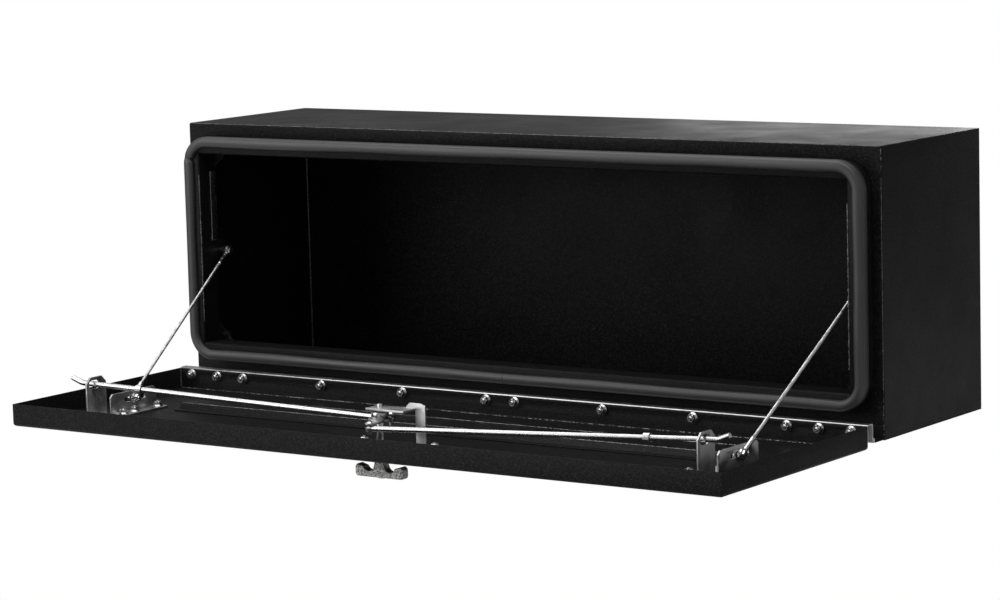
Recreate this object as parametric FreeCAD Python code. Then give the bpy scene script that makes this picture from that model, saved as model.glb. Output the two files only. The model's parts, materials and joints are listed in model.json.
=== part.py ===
import FreeCAD, Part
import math
import os

os.makedirs("parts", exist_ok=True)

Vec = FreeCAD.Vector

# High side truck toolbox with one drop-down door, shown open.
# Origin: centre of the underside. +X right, -Y towards the door, +Z up. Millimetres.

# Box shell
box_width = 1219.2
box_height = 406.4
box_depth = 292.1
sheet = 1.9
bend_inside = 1.2
top_flange = 44.4
bottom_flange = 75.0

# Raised door frame round the opening
frame_side_margin = 15.1
frame_bottom_margin = 43.5
frame_top_margin = 21.1
frame_projection = 27.5
frame_face = 23.5
frame_return = 38.0
frame_corner_radius = 40.0
frame_bend = 3.0

# Rubber seal on the frame's outer edge
seal_width = 17.0
seal_height = 7.9
seal_shoulder = 3.4
seal_clip = 3.0
seal_clip_reach = 9.5
seal_gap = 0.3

# Corner gussets, strikes and small rivets
gusset_leg = 25.0
gusset_overlap = 10.0
gusset_thickness = 2.0
gusset_bolt_inset = 7.0
strike_end_gap = 4.8
strike_sheet = 1.2
strike_depth = 14.0
strike_proud = 1.3
rivet_radius = 2.6
rivet_height = 1.2
top_rivet_offset = 67.0
end_rivet_inset = 103.0
side_rivet_heights = (120.0, 244.0)

# Door pan, measured while it hangs open
door_side_gap = 0.6
door_top_gap = 0.4
door_depth = 33.2
door_gap_to_front = 44.5
door_skin_drop = 6.2
door_bend_inside = 3.0
stiffener_end_gap = 137.0
stiffener_width = 96.0
stiffener_crown = 58.0
stiffener_slope = 6.0
stiffener_height = 10.0
stiffener_from_hinge = 101.0

# Continuous offset hinge
hinge_end_gap = 0.5
hinge_forward = 27.0
hinge_height = 4.5
pin_radius = 2.0
pin_running_gap = 0.06
barrel_radius = 3.6
leaf = 1.5
leaf_bend = 0.6
leaf_leg = 24.0
knuckle_count = 16
knuckle_gap = 0.4
barrel_relief = 1.0
box_leaf_top = 21.0
first_bolt_place = 25.4
even_bolt_steps = 3
end_bolt_inset = 24.3
end_bolt_pitch = 50.8
leaf_bolt_drop = 8.7
leaf_rivet_level = 12.5
leaf_rivet_height = 0.8
bolt_radius = 3.1
bolt_head_radius = 5.6
bolt_head_height = 2.6
hole_play = 0.1
nut_play = 0.05
nut_width = 10.6
nut_height = 7.4
bolt_tip = 1.6

# Flats that stand for small rounds, which the render finishes
fastener_flat_count = 6
barrel_flat_count = 8
fitting_flat_count = 12
rod_flat_count = 16

# Latch line: T-handle, cam and rods
latch_forward = 339.0
latch_turn = 75.0
cam_radius = 40.0
cam_plate_thickness = 3.0
cam_plate_bottom = 35.2
cam_arm_width = 12.4
cam_arm_bow = 6.0
cam_disc_radius = 17.0
hub_radius = 12.5
hub_height = 9.6
cam_pin_radius = 3.0
cam_pin_head = 5.0
cam_pin_crown = 3.0
cam_pin_head_height = 1.8
cam_pin_bottom = 21.5
pin_clip_radius = 5.2
pin_clip_thickness = 1.2
pin_clip_gap = 0.2
fit_gap = 0.06
press_play = 0.02
spindle_radius = 6.0
stud_radius = 4.0
stud_top = 58.5
bridge_sheet = 3.0
bridge_bottom = 50.4
bridge_half_depth = 14.0
bridge_left = 15.0
bridge_leg_inner = 50.6
bridge_leg_outer = 67.7
bridge_crest = 60.5
bridge_leg_slope = 3.0
bridge_wing_reach = 35.0
bridge_wing_slope = 6.0
bridge_wing_drop = 5.0
spindle_nut_gap = 0.4
base_plate_left = 52.0
base_plate_right = 88.0
base_plate_half_depth = 28.0
base_plate_thickness = 2.5
base_plate_corner = 5.0
latch_stud_inset = 9.0

# Latch rods
rod_radius = 4.0
rod_inner_height = 30.0
rod_bend_height = 50.4
rod_tip_over = 27.0
rod_tip_run = 18.0
rod_tip_height = 57.6
rod_bend_radius = 12.0
rod_eye_radius = 6.2
rod_eye_thickness = 5.0
rod_collar_setback = 109.0
rod_start = 6.0
rod_collar_radius = 6.5
rod_collar_length = 9.0

# Rod guides on the door floor
guide_inset = 81.0
guide_thickness = 3.0
guide_front = 356.0
guide_rear = 313.0
guide_top = 60.0
guide_chamfer = 9.0
guide_slot_width = 22.0
guide_slot_bottom = 42.6
guide_slot_top = 55.4
guide_foot = 46.0

# Cable brackets on the door floor
bracket_inset = 80.0
bracket_thickness = 3.0
bracket_front = 305.0
bracket_rear = 201.0
bracket_top = 28.0
bracket_chamfer = 5.0
bracket_foot = 25.0
bracket_slot_length = 47.0
bracket_slot_width = 7.0
bracket_stud_row = 15.0
bracket_stud_places = (291.0, 266.0, 213.0)
floor_nut_inset = 12.0

# Door cables and their end fittings
cable_radius = 2.4
cable_top_back = 23.0
cable_top_height = 206.0
cable_top_inset = 11.0
cable_bottom_forward = 250.0
cable_bottom_height = 15.8
cable_fold = 153.0
eye_gap = 0.3
eye_radius = 8.0
eye_thickness = 5.6
eye_play = 0.08
ferrule_radius = 3.5
ferrule_length = 26.0
ferrule_start = 7.0
cable_bolt_radius = 3.2
cable_head_radius = 6.2
cable_head_crown = 4.8
cable_head_height = 3.4
anchor_plate = 3.0
anchor_height = 36.0
anchor_back = 36.0
anchor_overlap = 16.0
anchor_corner = 8.0
spacer_radius = 6.0

# T-handle, rose and lock
handle_half_length = 43.5
handle_bottom = 45.6
handle_end_top = 28.0
handle_scoop = 33.0
handle_scoop_place = 24.0
handle_scoop_length = 32.0
handle_corner = 5.0
handle_neck = 11.0
handle_neck_corner = 6.6
handle_neck_sink = 1.0
handle_stem_gap = 0.3
handle_neck_top = 24.0
handle_thickness = 15.0
handle_edge = 2.4
handle_stem_radius = 8.5
rose_radius = 17.0
rose_slope = 2.0
rose_play = 0.5
rose_height = 3.6
bush_radius = 8.6
bush_length = 11.0
lock_radius = 6.2
lock_depth = 14.0
lock_proud = 1.0
lock_end_gap = 0.3
keyway_depth = 7.0
keyway_length = 7.0
keyway_width = 1.8

# Places worked out from the sizes above
half_width = box_width / 2
front = -box_depth / 2
rear = box_depth / 2
frame_half = half_width - frame_side_margin
frame_low = frame_bottom_margin
frame_high = box_height - frame_top_margin
frame_front = front - frame_projection
return_rear = frame_front + frame_return
open_half = frame_half - frame_face
open_low = frame_low + frame_face
open_high = frame_high - frame_face
door_width = box_width - 2 * door_side_gap
door_half = door_width / 2
door_length = box_height - door_top_gap - hinge_height - door_gap_to_front + hinge_forward
hinge_length = door_width - 2 * hinge_end_gap
door_rear = front - door_gap_to_front
door_front = door_rear - door_length
skin_low = -door_skin_drop
skin_top = skin_low + sheet
rim_top = skin_low + door_depth
hinge_y = front - hinge_forward
latch_y = front - latch_forward
rod_tip_reach = open_half + rod_tip_over
rod_bend_reach = rod_tip_reach - rod_tip_run
guide_reach = door_half - guide_inset
bracket_reach = door_half - bracket_inset
cable_top_reach = open_half - cable_top_inset
strike_low = cable_top_height + anchor_height / 2
strike_high = open_high - gusset_leg - strike_end_gap
cable_bottom_reach = bracket_reach + eye_gap + eye_thickness / 2


# Tolerance for picking edges by place
near = 0.01


def block(x0, x1, y0, y1, z0, z1):
    return Part.makeBox(x1 - x0, y1 - y0, z1 - z0, Vec(x0, y0, z0))


def mirrored(shape):
    return shape.mirror(Vec(0, 0, 0), Vec(1, 0, 0))


def group(solids):
    return Part.makeCompound(solids)


def corner_arc(before, corner, after, radius):
    """Ends and middle of the round that replaces a corner."""
    to_before = (before - corner).normalize()
    to_after = (after - corner).normalize()
    half_angle = to_before.getAngle(to_after) / 2
    reach = radius / math.tan(half_angle)
    bisector = (to_before + to_after).normalize()
    middle = corner + bisector * (radius / math.sin(half_angle) - radius)
    return corner + to_before * reach, middle, corner + to_after * reach


def path_edges(points, radii):
    """Straight runs joined by rounds, with one radius for each inner point."""
    edges = []
    here = points[0]
    for index in range(1, len(points) - 1):
        if radii[index - 1] > 0:
            radius = radii[index - 1]
            start, middle, end = corner_arc(points[index - 1], points[index], points[index + 1], radius)
            edges.append(Part.LineSegment(here, start).toShape())
            edges.append(Part.Arc(start, middle, end).toShape())
            here = end
        else:
            edges.append(Part.LineSegment(here, points[index]).toShape())
            here = points[index]
    edges.append(Part.LineSegment(here, points[-1]).toShape())
    return edges


def shifted_line(points, distance):
    """The same open outline moved to its left by a distance."""
    shifted = []
    for index, (u, v) in enumerate(points):
        normals = []
        for first, second in ((index - 1, index), (index, index + 1)):
            if first >= 0 and second < len(points):
                du = points[second][0] - points[first][0]
                dv = points[second][1] - points[first][1]
                length = math.hypot(du, dv)
                normals.append((-dv / length, du / length))
        if len(normals) == 1:
            shifted.append((u + normals[0][0] * distance, v + normals[0][1] * distance))
        else:
            (a, b), (c, d) = normals
            scale = distance / (1 + a * c + b * d)
            shifted.append((u + (a + c) * scale, v + (b + d) * scale))
    return shifted


def bent_sheet(points, thickness, inside, place, travel):
    """Sheet metal bent along an outline. The metal lies to the left of the outline."""
    other = shifted_line(points, thickness)
    near_radii = []
    far_radii = []
    for before, corner, after in zip(points, points[1:], points[2:]):
        turn = (corner[0] - before[0]) * (after[1] - corner[1])
        turn = turn - (corner[1] - before[1]) * (after[0] - corner[0])
        near_radii.append(inside + thickness if turn > 0 else inside)
        far_radii.append(inside if turn > 0 else inside + thickness)
    near = [place(u, v) for u, v in points]
    far = [place(u, v) for u, v in other]
    edges = path_edges(near, near_radii)
    edges.append(Part.LineSegment(near[-1], far[-1]).toShape())
    edges.extend(path_edges(far, far_radii))
    edges.append(Part.LineSegment(far[0], near[0]).toShape())
    wire = Part.Wire(Part.__sortEdges__(edges))
    return Part.Face(wire).extrude(travel)


def rounded_block(half, low, high, radius, y0, y1):
    """Block along Y with rounded corners, centred on X."""
    solid = block(-half, half, y0, y1, low, high)
    if radius > 0:
        corners = [edge for edge in solid.Edges if abs(edge.tangentAt(edge.FirstParameter).y) > 0.9]
        solid = solid.makeFillet(radius, corners)
    return solid


def outline_prism(points, place, travel):
    corners = [place(u, v) for u, v in points]
    return Part.Face(Part.makePolygon(corners + [corners[0]])).extrude(travel)


def polygon(flats, radius, height):
    """Closed regular outline round the Z axis, with its corners on the radius."""
    points = []
    for step in range(flats):
        angle = math.pi * (2 * step + 1) / flats
        points.append(Vec(radius * math.cos(angle), radius * math.sin(angle), height))
    return Part.makePolygon(points + [points[0]])


def flatted_rod(flats, radius, centre, axis, length):
    """Rod with flat sides and its corners on the radius."""
    solid = Part.Face(polygon(flats, radius, 0)).extrude(Vec(0, 0, length))
    solid.Placement = FreeCAD.Placement(centre, FreeCAD.Rotation(Vec(0, 0, 1), axis))
    return solid


def flatted_bore(flats, radius, centre, axis, length):
    """The same for a hole, with its flats on the radius."""
    return flatted_rod(flats, radius / math.cos(math.pi / flats), centre, axis, length)


def flatted_cone(flats, radius, crown, centre, axis, height):
    """Head with flat sides that narrows from one radius to another."""
    solid = Part.makeLoft([polygon(flats, radius, 0), polygon(flats, crown, height)], True, True)
    solid.Placement = FreeCAD.Placement(centre, FreeCAD.Rotation(Vec(0, 0, 1), axis))
    return solid


def seated_nut(centre, axis, hole, flats=fastener_flat_count):
    """Six-sided nut, seated at centre and standing along the axis."""
    nut = flatted_bore(fastener_flat_count, nut_width / 2, centre, axis, nut_height)
    return nut.cut(flatted_rod(flats, hole, centre, axis, nut_height))


def headed_bolt(seat, axis, radius, grip, head_radius, head_height):
    """Bolt with a low head. The shank runs from the seat along the axis."""
    shank = flatted_rod(fastener_flat_count, radius, seat, axis, grip)
    return shank.fuse(flatted_rod(fastener_flat_count, head_radius, seat, axis * -1, head_height))


def bolt_hole(seat, axis, depth):
    return flatted_rod(fastener_flat_count, bolt_radius + hole_play, seat, axis, depth)


def low_rivet(seat, axis, height):
    """Shallow rivet head that stands on a face."""
    return flatted_rod(fastener_flat_count, rivet_radius, seat, axis, height)


def on_x(u, v):
    return Vec(0, u, v)


def on_z(u, v):
    return Vec(u, v, 0)


# Box panels
def flange_opening():
    """Space that the front flanges leave for the frame."""
    return rounded_block(frame_half - sheet, frame_low + sheet, frame_high - sheet,
                         frame_corner_radius - sheet, front - sheet, front + 2 * sheet)


def top_panel():
    outline = [(rear, box_height), (front, box_height), (front, box_height - top_flange)]
    panel = bent_sheet(outline, sheet, bend_inside, on_x, Vec(box_width, 0, 0))
    panel.translate(Vec(-half_width, 0, 0))
    return panel.cut(flange_opening())


def bottom_panel():
    outline = [(front, bottom_flange), (front, 0), (rear, 0)]
    panel = bent_sheet(outline, sheet, bend_inside, on_x, Vec(box_width, 0, 0))
    panel.translate(Vec(-half_width, 0, 0))
    return panel.cut(flange_opening())


def right_side_panel():
    outline = [(frame_half - sheet, front), (half_width, front), (half_width, rear - sheet)]
    flange_low = bottom_flange
    flange_high = box_height - top_flange
    panel = bent_sheet(outline, sheet, bend_inside, on_z, Vec(0, 0, flange_high - flange_low))
    panel.translate(Vec(0, 0, flange_low))
    plate_front = front + sheet + bend_inside
    for low, high in ((sheet, flange_low), (flange_high, box_height - sheet)):
        panel = panel.fuse(block(half_width - sheet, half_width, plate_front, rear - sheet, low, high))
    return panel.cut(flange_opening()).removeSplitter()


def back_panel():
    return block(-half_width, half_width, rear - sheet, rear, sheet, box_height - sheet)


# Door frame, strikes, gussets and seal
def frame_ring():
    """Hat section round the opening: outer wall, front face and inner return."""
    outer = rounded_block(frame_half, frame_low, frame_high, frame_corner_radius, frame_front, front)
    hollow = rounded_block(frame_half - sheet, frame_low + sheet, frame_high - sheet,
                           frame_corner_radius - sheet, frame_front + sheet, front)
    return_wall = block(-open_half - sheet, open_half + sheet, frame_front, return_rear,
                        open_low - sheet, open_high + sheet)
    opening = block(-open_half, open_half, frame_front, return_rear, open_low, open_high)
    ring = outer.cut(hollow).fuse(return_wall).cut(opening).removeSplitter()
    mouth_edges = []
    for edge in ring.Edges:
        box = edge.BoundBox
        inside = box.XMax < open_half + near and box.ZMax < open_high + near and box.ZMin > open_low - near
        if box.YMax < frame_front + near and box.XMin > -open_half - near and inside:
            mouth_edges.append(edge)
    return ring.makeFillet(frame_bend, mouth_edges)


def frame_members():
    """The ring cut at its mitres into two rails and two jambs."""
    ring = frame_ring()
    reach = frame_face + frame_side_margin
    travel = Vec(0, frame_return + 2 * sheet, 0)
    low_left = (-open_half, open_low)
    low_right = (open_half, open_low)
    high_left = (-open_half, open_high)
    high_right = (open_half, open_high)
    far_low_left = (-open_half - reach, open_low - reach)
    far_low_right = (open_half + reach, open_low - reach)
    far_high_left = (-open_half - reach, open_high + reach)
    far_high_right = (open_half + reach, open_high + reach)
    wedges = {
        "frame_sill": [low_left, low_right, far_low_right, far_low_left],
        "frame_head": [high_right, high_left, far_high_left, far_high_right],
        "frame_left_jamb": [high_left, low_left, far_low_left, far_high_left],
        "frame_right_jamb": [low_right, high_right, far_high_right, far_low_right],
    }
    members = {}
    for name, outline in wedges.items():
        wedge = outline_prism(outline, lambda u, v: Vec(u, frame_front - sheet, v), travel)
        members[name] = ring.common(wedge)
    return members


def door_seal():
    """Bulb on the frame's face and a clip down its outer wall, as one ring."""
    clip_rear = frame_front + seal_clip_reach
    clip_front = frame_front - seal_clip
    outer_radius = frame_corner_radius + seal_clip
    clip = rounded_block(frame_half + seal_clip, frame_low - seal_clip, frame_high + seal_clip,
                         outer_radius, clip_front, clip_rear)
    clip = clip.cut(rounded_block(frame_half + seal_gap, frame_low - seal_gap, frame_high + seal_gap,
                                  frame_corner_radius + seal_gap, clip_front, clip_rear))
    inner_half = frame_half + seal_clip - seal_width
    inner_low = frame_low - seal_clip + seal_width
    inner_high = frame_high + seal_clip - seal_width
    bulb_front = frame_front - seal_height
    bulb = rounded_block(frame_half + seal_clip, frame_low - seal_clip, frame_high + seal_clip,
                         outer_radius, bulb_front, frame_front)
    bulb = bulb.cut(rounded_block(inner_half, inner_low, inner_high, outer_radius - seal_width,
                                  bulb_front, frame_front))
    crest = [edge for edge in bulb.Edges if edge.BoundBox.YMax < bulb_front + near]
    bulb = bulb.makeChamfer(seal_shoulder, crest)
    return bulb.fuse(clip).removeSplitter()


def gusset_places():
    return [(side, level) for side in (-1, 1) for level in (-1, 1)]


def corner_gusset(side, level):
    """Triangular plate welded across one inner corner, behind the return."""
    corner_x = open_half
    corner_z = open_high if level > 0 else open_low
    inner = corner_x - gusset_leg
    outer = corner_x + gusset_overlap
    near = corner_z - level * gusset_leg
    far = corner_z + level * gusset_overlap
    outline = [(inner, corner_z), (corner_x, near), (outer, near), (outer, far), (inner, far)]
    plate = outline_prism([(side * x, z) for x, z in outline], lambda u, v: Vec(u, return_rear, v),
                          Vec(0, gusset_thickness, 0))
    return plate.cut(bolt_hole(gusset_bolt_seat(side, level), Vec(0, 1, 0), gusset_thickness))


def gusset_bolt_seat(side, level):
    corner_z = open_high if level > 0 else open_low
    return Vec(side * (open_half - gusset_bolt_inset), return_rear, corner_z - level * gusset_bolt_inset)


def gusset_bolt(side, level):
    seat = gusset_bolt_seat(side, level)
    grip = gusset_thickness + nut_height + bolt_tip
    return headed_bolt(seat, Vec(0, 1, 0), bolt_radius, grip, bolt_head_radius, bolt_head_height)


def gusset_nut(side, level):
    seat = gusset_bolt_seat(side, level) + Vec(0, gusset_thickness, 0)
    return seated_nut(seat, Vec(0, 1, 0), bolt_radius + nut_play)


def right_strike():
    """Bright clip folded over the rear edge of the return, for the rod end."""
    inner = open_half - strike_sheet
    outer = open_half + sheet + strike_sheet
    back = return_rear + strike_proud
    clip = block(inner, outer, back - strike_depth, back, strike_low, strike_high)
    slot = block(open_half, open_half + sheet, back - strike_depth, return_rear, strike_low, strike_high)
    return clip.cut(slot)


def flange_rivets():
    """Small domed rivets in the front flange beside the frame."""
    rivets = []
    top_z = (frame_high + seal_clip + box_height) / 2
    side_x = (frame_half + seal_clip + half_width) / 2
    for x in (-open_half + end_rivet_inset, top_rivet_offset, open_half - end_rivet_inset):
        rivets.append(low_rivet(Vec(x, front, top_z), Vec(0, -1, 0), rivet_height))
    for side in (-1, 1):
        for z in side_rivet_heights:
            rivets.append(low_rivet(Vec(side * side_x, front, z), Vec(0, -1, 0), rivet_height))
    return group(rivets)


# Hinge
def knuckle_spans(first):
    """Stretches of the barrel that belong to every second knuckle."""
    pitch = hinge_length / knuckle_count
    spans = []
    for index in range(first, knuckle_count, 2):
        low = -hinge_length / 2 + index * pitch + knuckle_gap / 2
        spans.append((low, low + pitch - knuckle_gap))
    return spans


def barrel_bore():
    start = Vec(-hinge_length / 2, hinge_y, hinge_height)
    return flatted_bore(barrel_flat_count, pin_radius + pin_running_gap, start, Vec(1, 0, 0), hinge_length)


def knuckle(low, high):
    end = Vec(low, hinge_y, hinge_height)
    return flatted_rod(barrel_flat_count, barrel_radius, end, Vec(1, 0, 0), high - low)


def hinge_box_leaf():
    """Leaf on the box: down the front flange, then forward under the barrel."""
    tangent_z = hinge_height - barrel_radius
    plate_front = hinge_y + barrel_radius + barrel_relief
    outline = [(plate_front, tangent_z), (front, tangent_z), (front, box_leaf_top)]
    plate = bent_sheet(outline, leaf, leaf_bend, on_x, Vec(hinge_length, 0, 0))
    plate.translate(Vec(-hinge_length / 2, 0, 0))
    parts = []
    for low, high in knuckle_spans(0):
        finger = block(low, high, hinge_y, plate_front, tangent_z, tangent_z + leaf)
        parts.append(knuckle(low, high).fuse(finger))
    return plate.fuse(parts).cut(barrel_bore()).removeSplitter()


def hinge_door_leaf():
    """Leaf on the door: up the rear rim, back over it, then down in front of the barrel."""
    tangent_y = hinge_y - barrel_radius
    web_top = rim_top + leaf
    plate_low = hinge_height + barrel_radius + barrel_relief
    outline = [(tangent_y + leaf, plate_low), (tangent_y + leaf, web_top),
               (door_rear, web_top), (door_rear, web_top - leaf_leg)]
    plate = bent_sheet(outline, leaf, leaf_bend, on_x, Vec(hinge_length, 0, 0))
    plate.translate(Vec(-hinge_length / 2, 0, 0))
    parts = []
    for low, high in knuckle_spans(1):
        finger = block(low, high, tangent_y, tangent_y + leaf, hinge_height, plate_low)
        parts.append(knuckle(low, high).fuse(finger))
    plate = plate.fuse(parts).cut(barrel_bore())
    for x in leaf_bolt_x():
        plate = plate.cut(bolt_hole(Vec(x, door_rear, leaf_bolt_z()), Vec(0, 1, 0), leaf))
    return plate.removeSplitter()


def hinge_pin():
    start = Vec(-hinge_length / 2, hinge_y, hinge_height)
    return Part.makeCylinder(pin_radius, hinge_length, start, Vec(1, 0, 0))


def leaf_bolt_x():
    """Bolts at an even pitch from the middle, then a closer pair at each end."""
    last = hinge_length / 2 - end_bolt_inset
    pitch = (last - 2 * end_bolt_pitch - first_bolt_place) / even_bolt_steps
    places = [first_bolt_place + step * pitch for step in range(even_bolt_steps + 1)]
    places.extend([last - end_bolt_pitch, last])
    return sorted([-place for place in places] + places)


def leaf_bolt_z():
    return rim_top - leaf_bolt_drop


def hinge_bolts():
    grip = leaf + sheet + nut_height + bolt_tip
    bolts = []
    for x in leaf_bolt_x():
        seat = Vec(x, door_rear + leaf, leaf_bolt_z())
        bolts.append(headed_bolt(seat, Vec(0, -1, 0), bolt_radius, grip, bolt_head_radius, bolt_head_height))
    return group(bolts)


def hinge_nuts():
    nuts = []
    for x in leaf_bolt_x():
        seat = Vec(x, door_rear - sheet, leaf_bolt_z())
        nuts.append(seated_nut(seat, Vec(0, -1, 0), bolt_radius + nut_play))
    return group(nuts)


def leaf_rivets():
    """Low rivets that hold the box leaf and clear the folded door leaf."""
    rivets = []
    for x in leaf_bolt_x():
        rivets.append(low_rivet(Vec(x, front - leaf, leaf_rivet_level), Vec(0, -1, 0), leaf_rivet_height))
    return group(rivets)


# Door pan and its stiffener
def tray(inset, low, high):
    """Outside or inside of the pan, bent along the floor and welded at its upright corners."""
    solid = block(-door_half + inset, door_half - inset, door_front + inset, door_rear - inset, low, high)
    bottom = [edge for edge in solid.Edges if edge.BoundBox.ZMax < low + near]
    return solid.makeFillet(door_bend_inside + sheet - inset, bottom)


def door_pan():
    pan = tray(0, skin_low, rim_top).cut(tray(sheet, skin_top, rim_top + door_depth))
    bush_seat = Vec(0, latch_y, skin_low)
    pan = pan.cut(flatted_rod(fitting_flat_count, bush_radius + hole_play, bush_seat, Vec(0, 0, 1), sheet))
    for x in leaf_bolt_x():
        pan = pan.cut(bolt_hole(Vec(x, door_rear, leaf_bolt_z()), Vec(0, -1, 0), sheet))
    return pan


def door_stiffener():
    """Shallow hat channel along the middle of the door skin."""
    back = hinge_y - stiffener_from_hinge
    fore = back - stiffener_width
    flat = (stiffener_width - stiffener_crown) / 2 - stiffener_slope
    crown = skin_top + stiffener_height - sheet
    outline = [(fore, skin_top), (fore + flat, skin_top), (fore + flat + stiffener_slope, crown),
               (back - flat - stiffener_slope, crown), (back - flat, skin_top), (back, skin_top)]
    half_length = door_half - stiffener_end_gap
    channel = bent_sheet(outline, sheet, bend_inside, on_x, Vec(2 * half_length, 0, 0))
    channel.translate(Vec(-half_length, 0, 0))
    return channel


# Rod guides and cable brackets on the door skin
def floor_angle(reach, foot, top, fore, back, thickness, chamfer):
    """Bent bracket: an upright plate across X with its foot turned inwards."""
    outline = [(reach - foot, skin_top), (reach, skin_top), (reach, top)]
    angle = bent_sheet(outline, thickness, bend_inside, lambda u, v: Vec(u, fore, v), Vec(0, back - fore, 0))
    plate_x = reach - thickness
    for end, inward in ((fore, 1), (back, -1)):
        corner = [(end, top - chamfer), (end, top), (end + inward * chamfer, top)]
        angle = angle.cut(outline_prism(corner, lambda u, v: Vec(plate_x, u, v), Vec(thickness, 0, 0)))
    return angle


def slot_cut(x0, x1, y0, y1, z0, z1):
    """Slot through an upright plate, with rounded ends along Y."""
    radius = (z1 - z0) / 2
    middle = (z0 + z1) / 2
    cut = block(x0, x1, y0 + radius, y1 - radius, z0, z1)
    for y in (y0 + radius, y1 - radius):
        cut = cut.fuse(flatted_bore(fitting_flat_count, radius, Vec(x0, y, middle), Vec(1, 0, 0), x1 - x0))
    return cut


def guide_bolt_places():
    inner = guide_outer() - guide_foot + floor_nut_inset
    return [(inner, front - guide_front + floor_nut_inset), (inner, front - guide_rear - floor_nut_inset)]


def guide_outer():
    return guide_reach + guide_thickness / 2


def bracket_bolt_places():
    return [(bracket_reach - bracket_stud_row, front - place) for place in bracket_stud_places]


def stud_holes(shape, places, low, depth):
    for x, y in places:
        shape = shape.cut(bolt_hole(Vec(x, y, low), Vec(0, 0, 1), depth))
    return shape


def right_rod_guide():
    fore = front - guide_front
    back = front - guide_rear
    guide = floor_angle(guide_outer(), guide_foot, guide_top, fore, back, guide_thickness, guide_chamfer)
    half_slot = guide_slot_width / 2
    guide = guide.cut(slot_cut(guide_outer() - guide_thickness, guide_outer(),
                               latch_y - half_slot, latch_y + half_slot, guide_slot_bottom, guide_slot_top))
    return stud_holes(guide, guide_bolt_places(), skin_top, guide_thickness)


def right_cable_bracket():
    fore = front - bracket_front
    back = front - bracket_rear
    bracket = floor_angle(bracket_reach, bracket_foot, bracket_top, fore, back,
                          bracket_thickness, bracket_chamfer)
    bolt_y = front - cable_bottom_forward
    slot = slot_cut(bracket_reach - bracket_thickness, bracket_reach,
                    bolt_y - bracket_slot_length / 2, bolt_y + bracket_slot_length / 2,
                    cable_bottom_height - bracket_slot_width / 2,
                    cable_bottom_height + bracket_slot_width / 2)
    return stud_holes(bracket.cut(slot), bracket_bolt_places(), skin_top, bracket_thickness)


def latch_stud_places():
    places = []
    for x in (-base_plate_left + latch_stud_inset, base_plate_right - latch_stud_inset):
        for y in (-base_plate_half_depth + latch_stud_inset, base_plate_half_depth - latch_stud_inset):
            places.append((x, latch_y + y))
    return places


def stud_seats():
    """Every stud on the door skin, with the thickness that it clamps."""
    seats = [(x, y, base_plate_thickness) for x, y in latch_stud_places()]
    for x, y in guide_bolt_places():
        seats.extend([(x, y, guide_thickness), (-x, y, guide_thickness)])
    for x, y in bracket_bolt_places():
        seats.extend([(x, y, bracket_thickness), (-x, y, bracket_thickness)])
    return seats


def floor_studs():
    studs = []
    for x, y, clamped in stud_seats():
        length = clamped + nut_height + bolt_tip
        studs.append(flatted_rod(fastener_flat_count, bolt_radius, Vec(x, y, skin_top), Vec(0, 0, 1), length))
    return group(studs)


def floor_nuts():
    nuts = []
    for x, y, clamped in stud_seats():
        nuts.append(seated_nut(Vec(x, y, skin_top + clamped), Vec(0, 0, 1), bolt_radius + nut_play))
    return group(nuts)


# Latch centre
def latch_base_plate():
    plate = block(-base_plate_left, base_plate_right, latch_y - base_plate_half_depth,
                  latch_y + base_plate_half_depth, skin_top, skin_top + base_plate_thickness)
    upright = [edge for edge in plate.Edges if abs(edge.tangentAt(edge.FirstParameter).z) > 0.9]
    plate = plate.makeChamfer(base_plate_corner, upright)
    hole_start = Vec(0, latch_y, skin_top)
    hole = flatted_rod(fitting_flat_count, bush_radius + hole_play, hole_start, Vec(0, 0, 1),
                       base_plate_thickness)
    plate = plate.cut(hole)
    return stud_holes(plate, latch_stud_places(), skin_top, base_plate_thickness)


def latch_bridge():
    """Angle that stands on the base plate and reaches over the cam to steady the stud."""
    plate_low = skin_top + base_plate_thickness
    leg_y = latch_y + bridge_half_depth
    leg_middle = (bridge_leg_inner + bridge_leg_outer) / 2
    outline = [(bridge_leg_inner, plate_low), (bridge_leg_outer, plate_low),
               (bridge_leg_outer, bridge_crest - bridge_leg_slope), (leg_middle, bridge_crest),
               (bridge_wing_reach + bridge_wing_slope, bridge_crest),
               (bridge_wing_reach, bridge_crest - bridge_wing_drop),
               (bridge_wing_reach, bridge_bottom), (bridge_leg_inner, bridge_bottom)]
    leg = outline_prism(outline, lambda u, v: Vec(u, leg_y, v), Vec(0, bridge_sheet, 0))
    arm = block(-bridge_left, bridge_leg_inner, latch_y - bridge_half_depth, leg_y,
                bridge_bottom, bridge_bottom + bridge_sheet)
    foot = block(bridge_leg_inner, bridge_leg_outer, leg_y, latch_y + base_plate_half_depth,
                 plate_low, plate_low + bridge_sheet)
    bridge = leg.fuse([arm, foot])
    hole_start = Vec(0, latch_y, bridge_bottom)
    hole = flatted_bore(fitting_flat_count, stud_radius + fit_gap, hole_start, Vec(0, 0, 1), bridge_sheet)
    return bridge.cut(hole).removeSplitter()


def handle_rose():
    seat = Vec(0, latch_y, skin_low)
    down = Vec(0, 0, -1)
    disc = flatted_cone(rod_flat_count, rose_radius, rose_radius - rose_slope, seat, down, rose_height)
    return disc.cut(flatted_bore(fitting_flat_count, spindle_radius + rose_play, seat, down, rose_height))


def spindle_bush():
    bush = flatted_rod(fitting_flat_count, bush_radius, Vec(0, latch_y, skin_low), Vec(0, 0, 1), bush_length)
    return bush.cut(Part.makeCylinder(spindle_radius + fit_gap, bush_length, Vec(0, latch_y, skin_low)))


def cam_top():
    return cam_plate_bottom + cam_plate_thickness


def pin_place(side):
    """Cam pin at rest, with the rods drawn in."""
    angle = math.radians(-latch_turn)
    return Vec(side * cam_radius * math.cos(angle), latch_y + side * cam_radius * math.sin(angle), 0)


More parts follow.
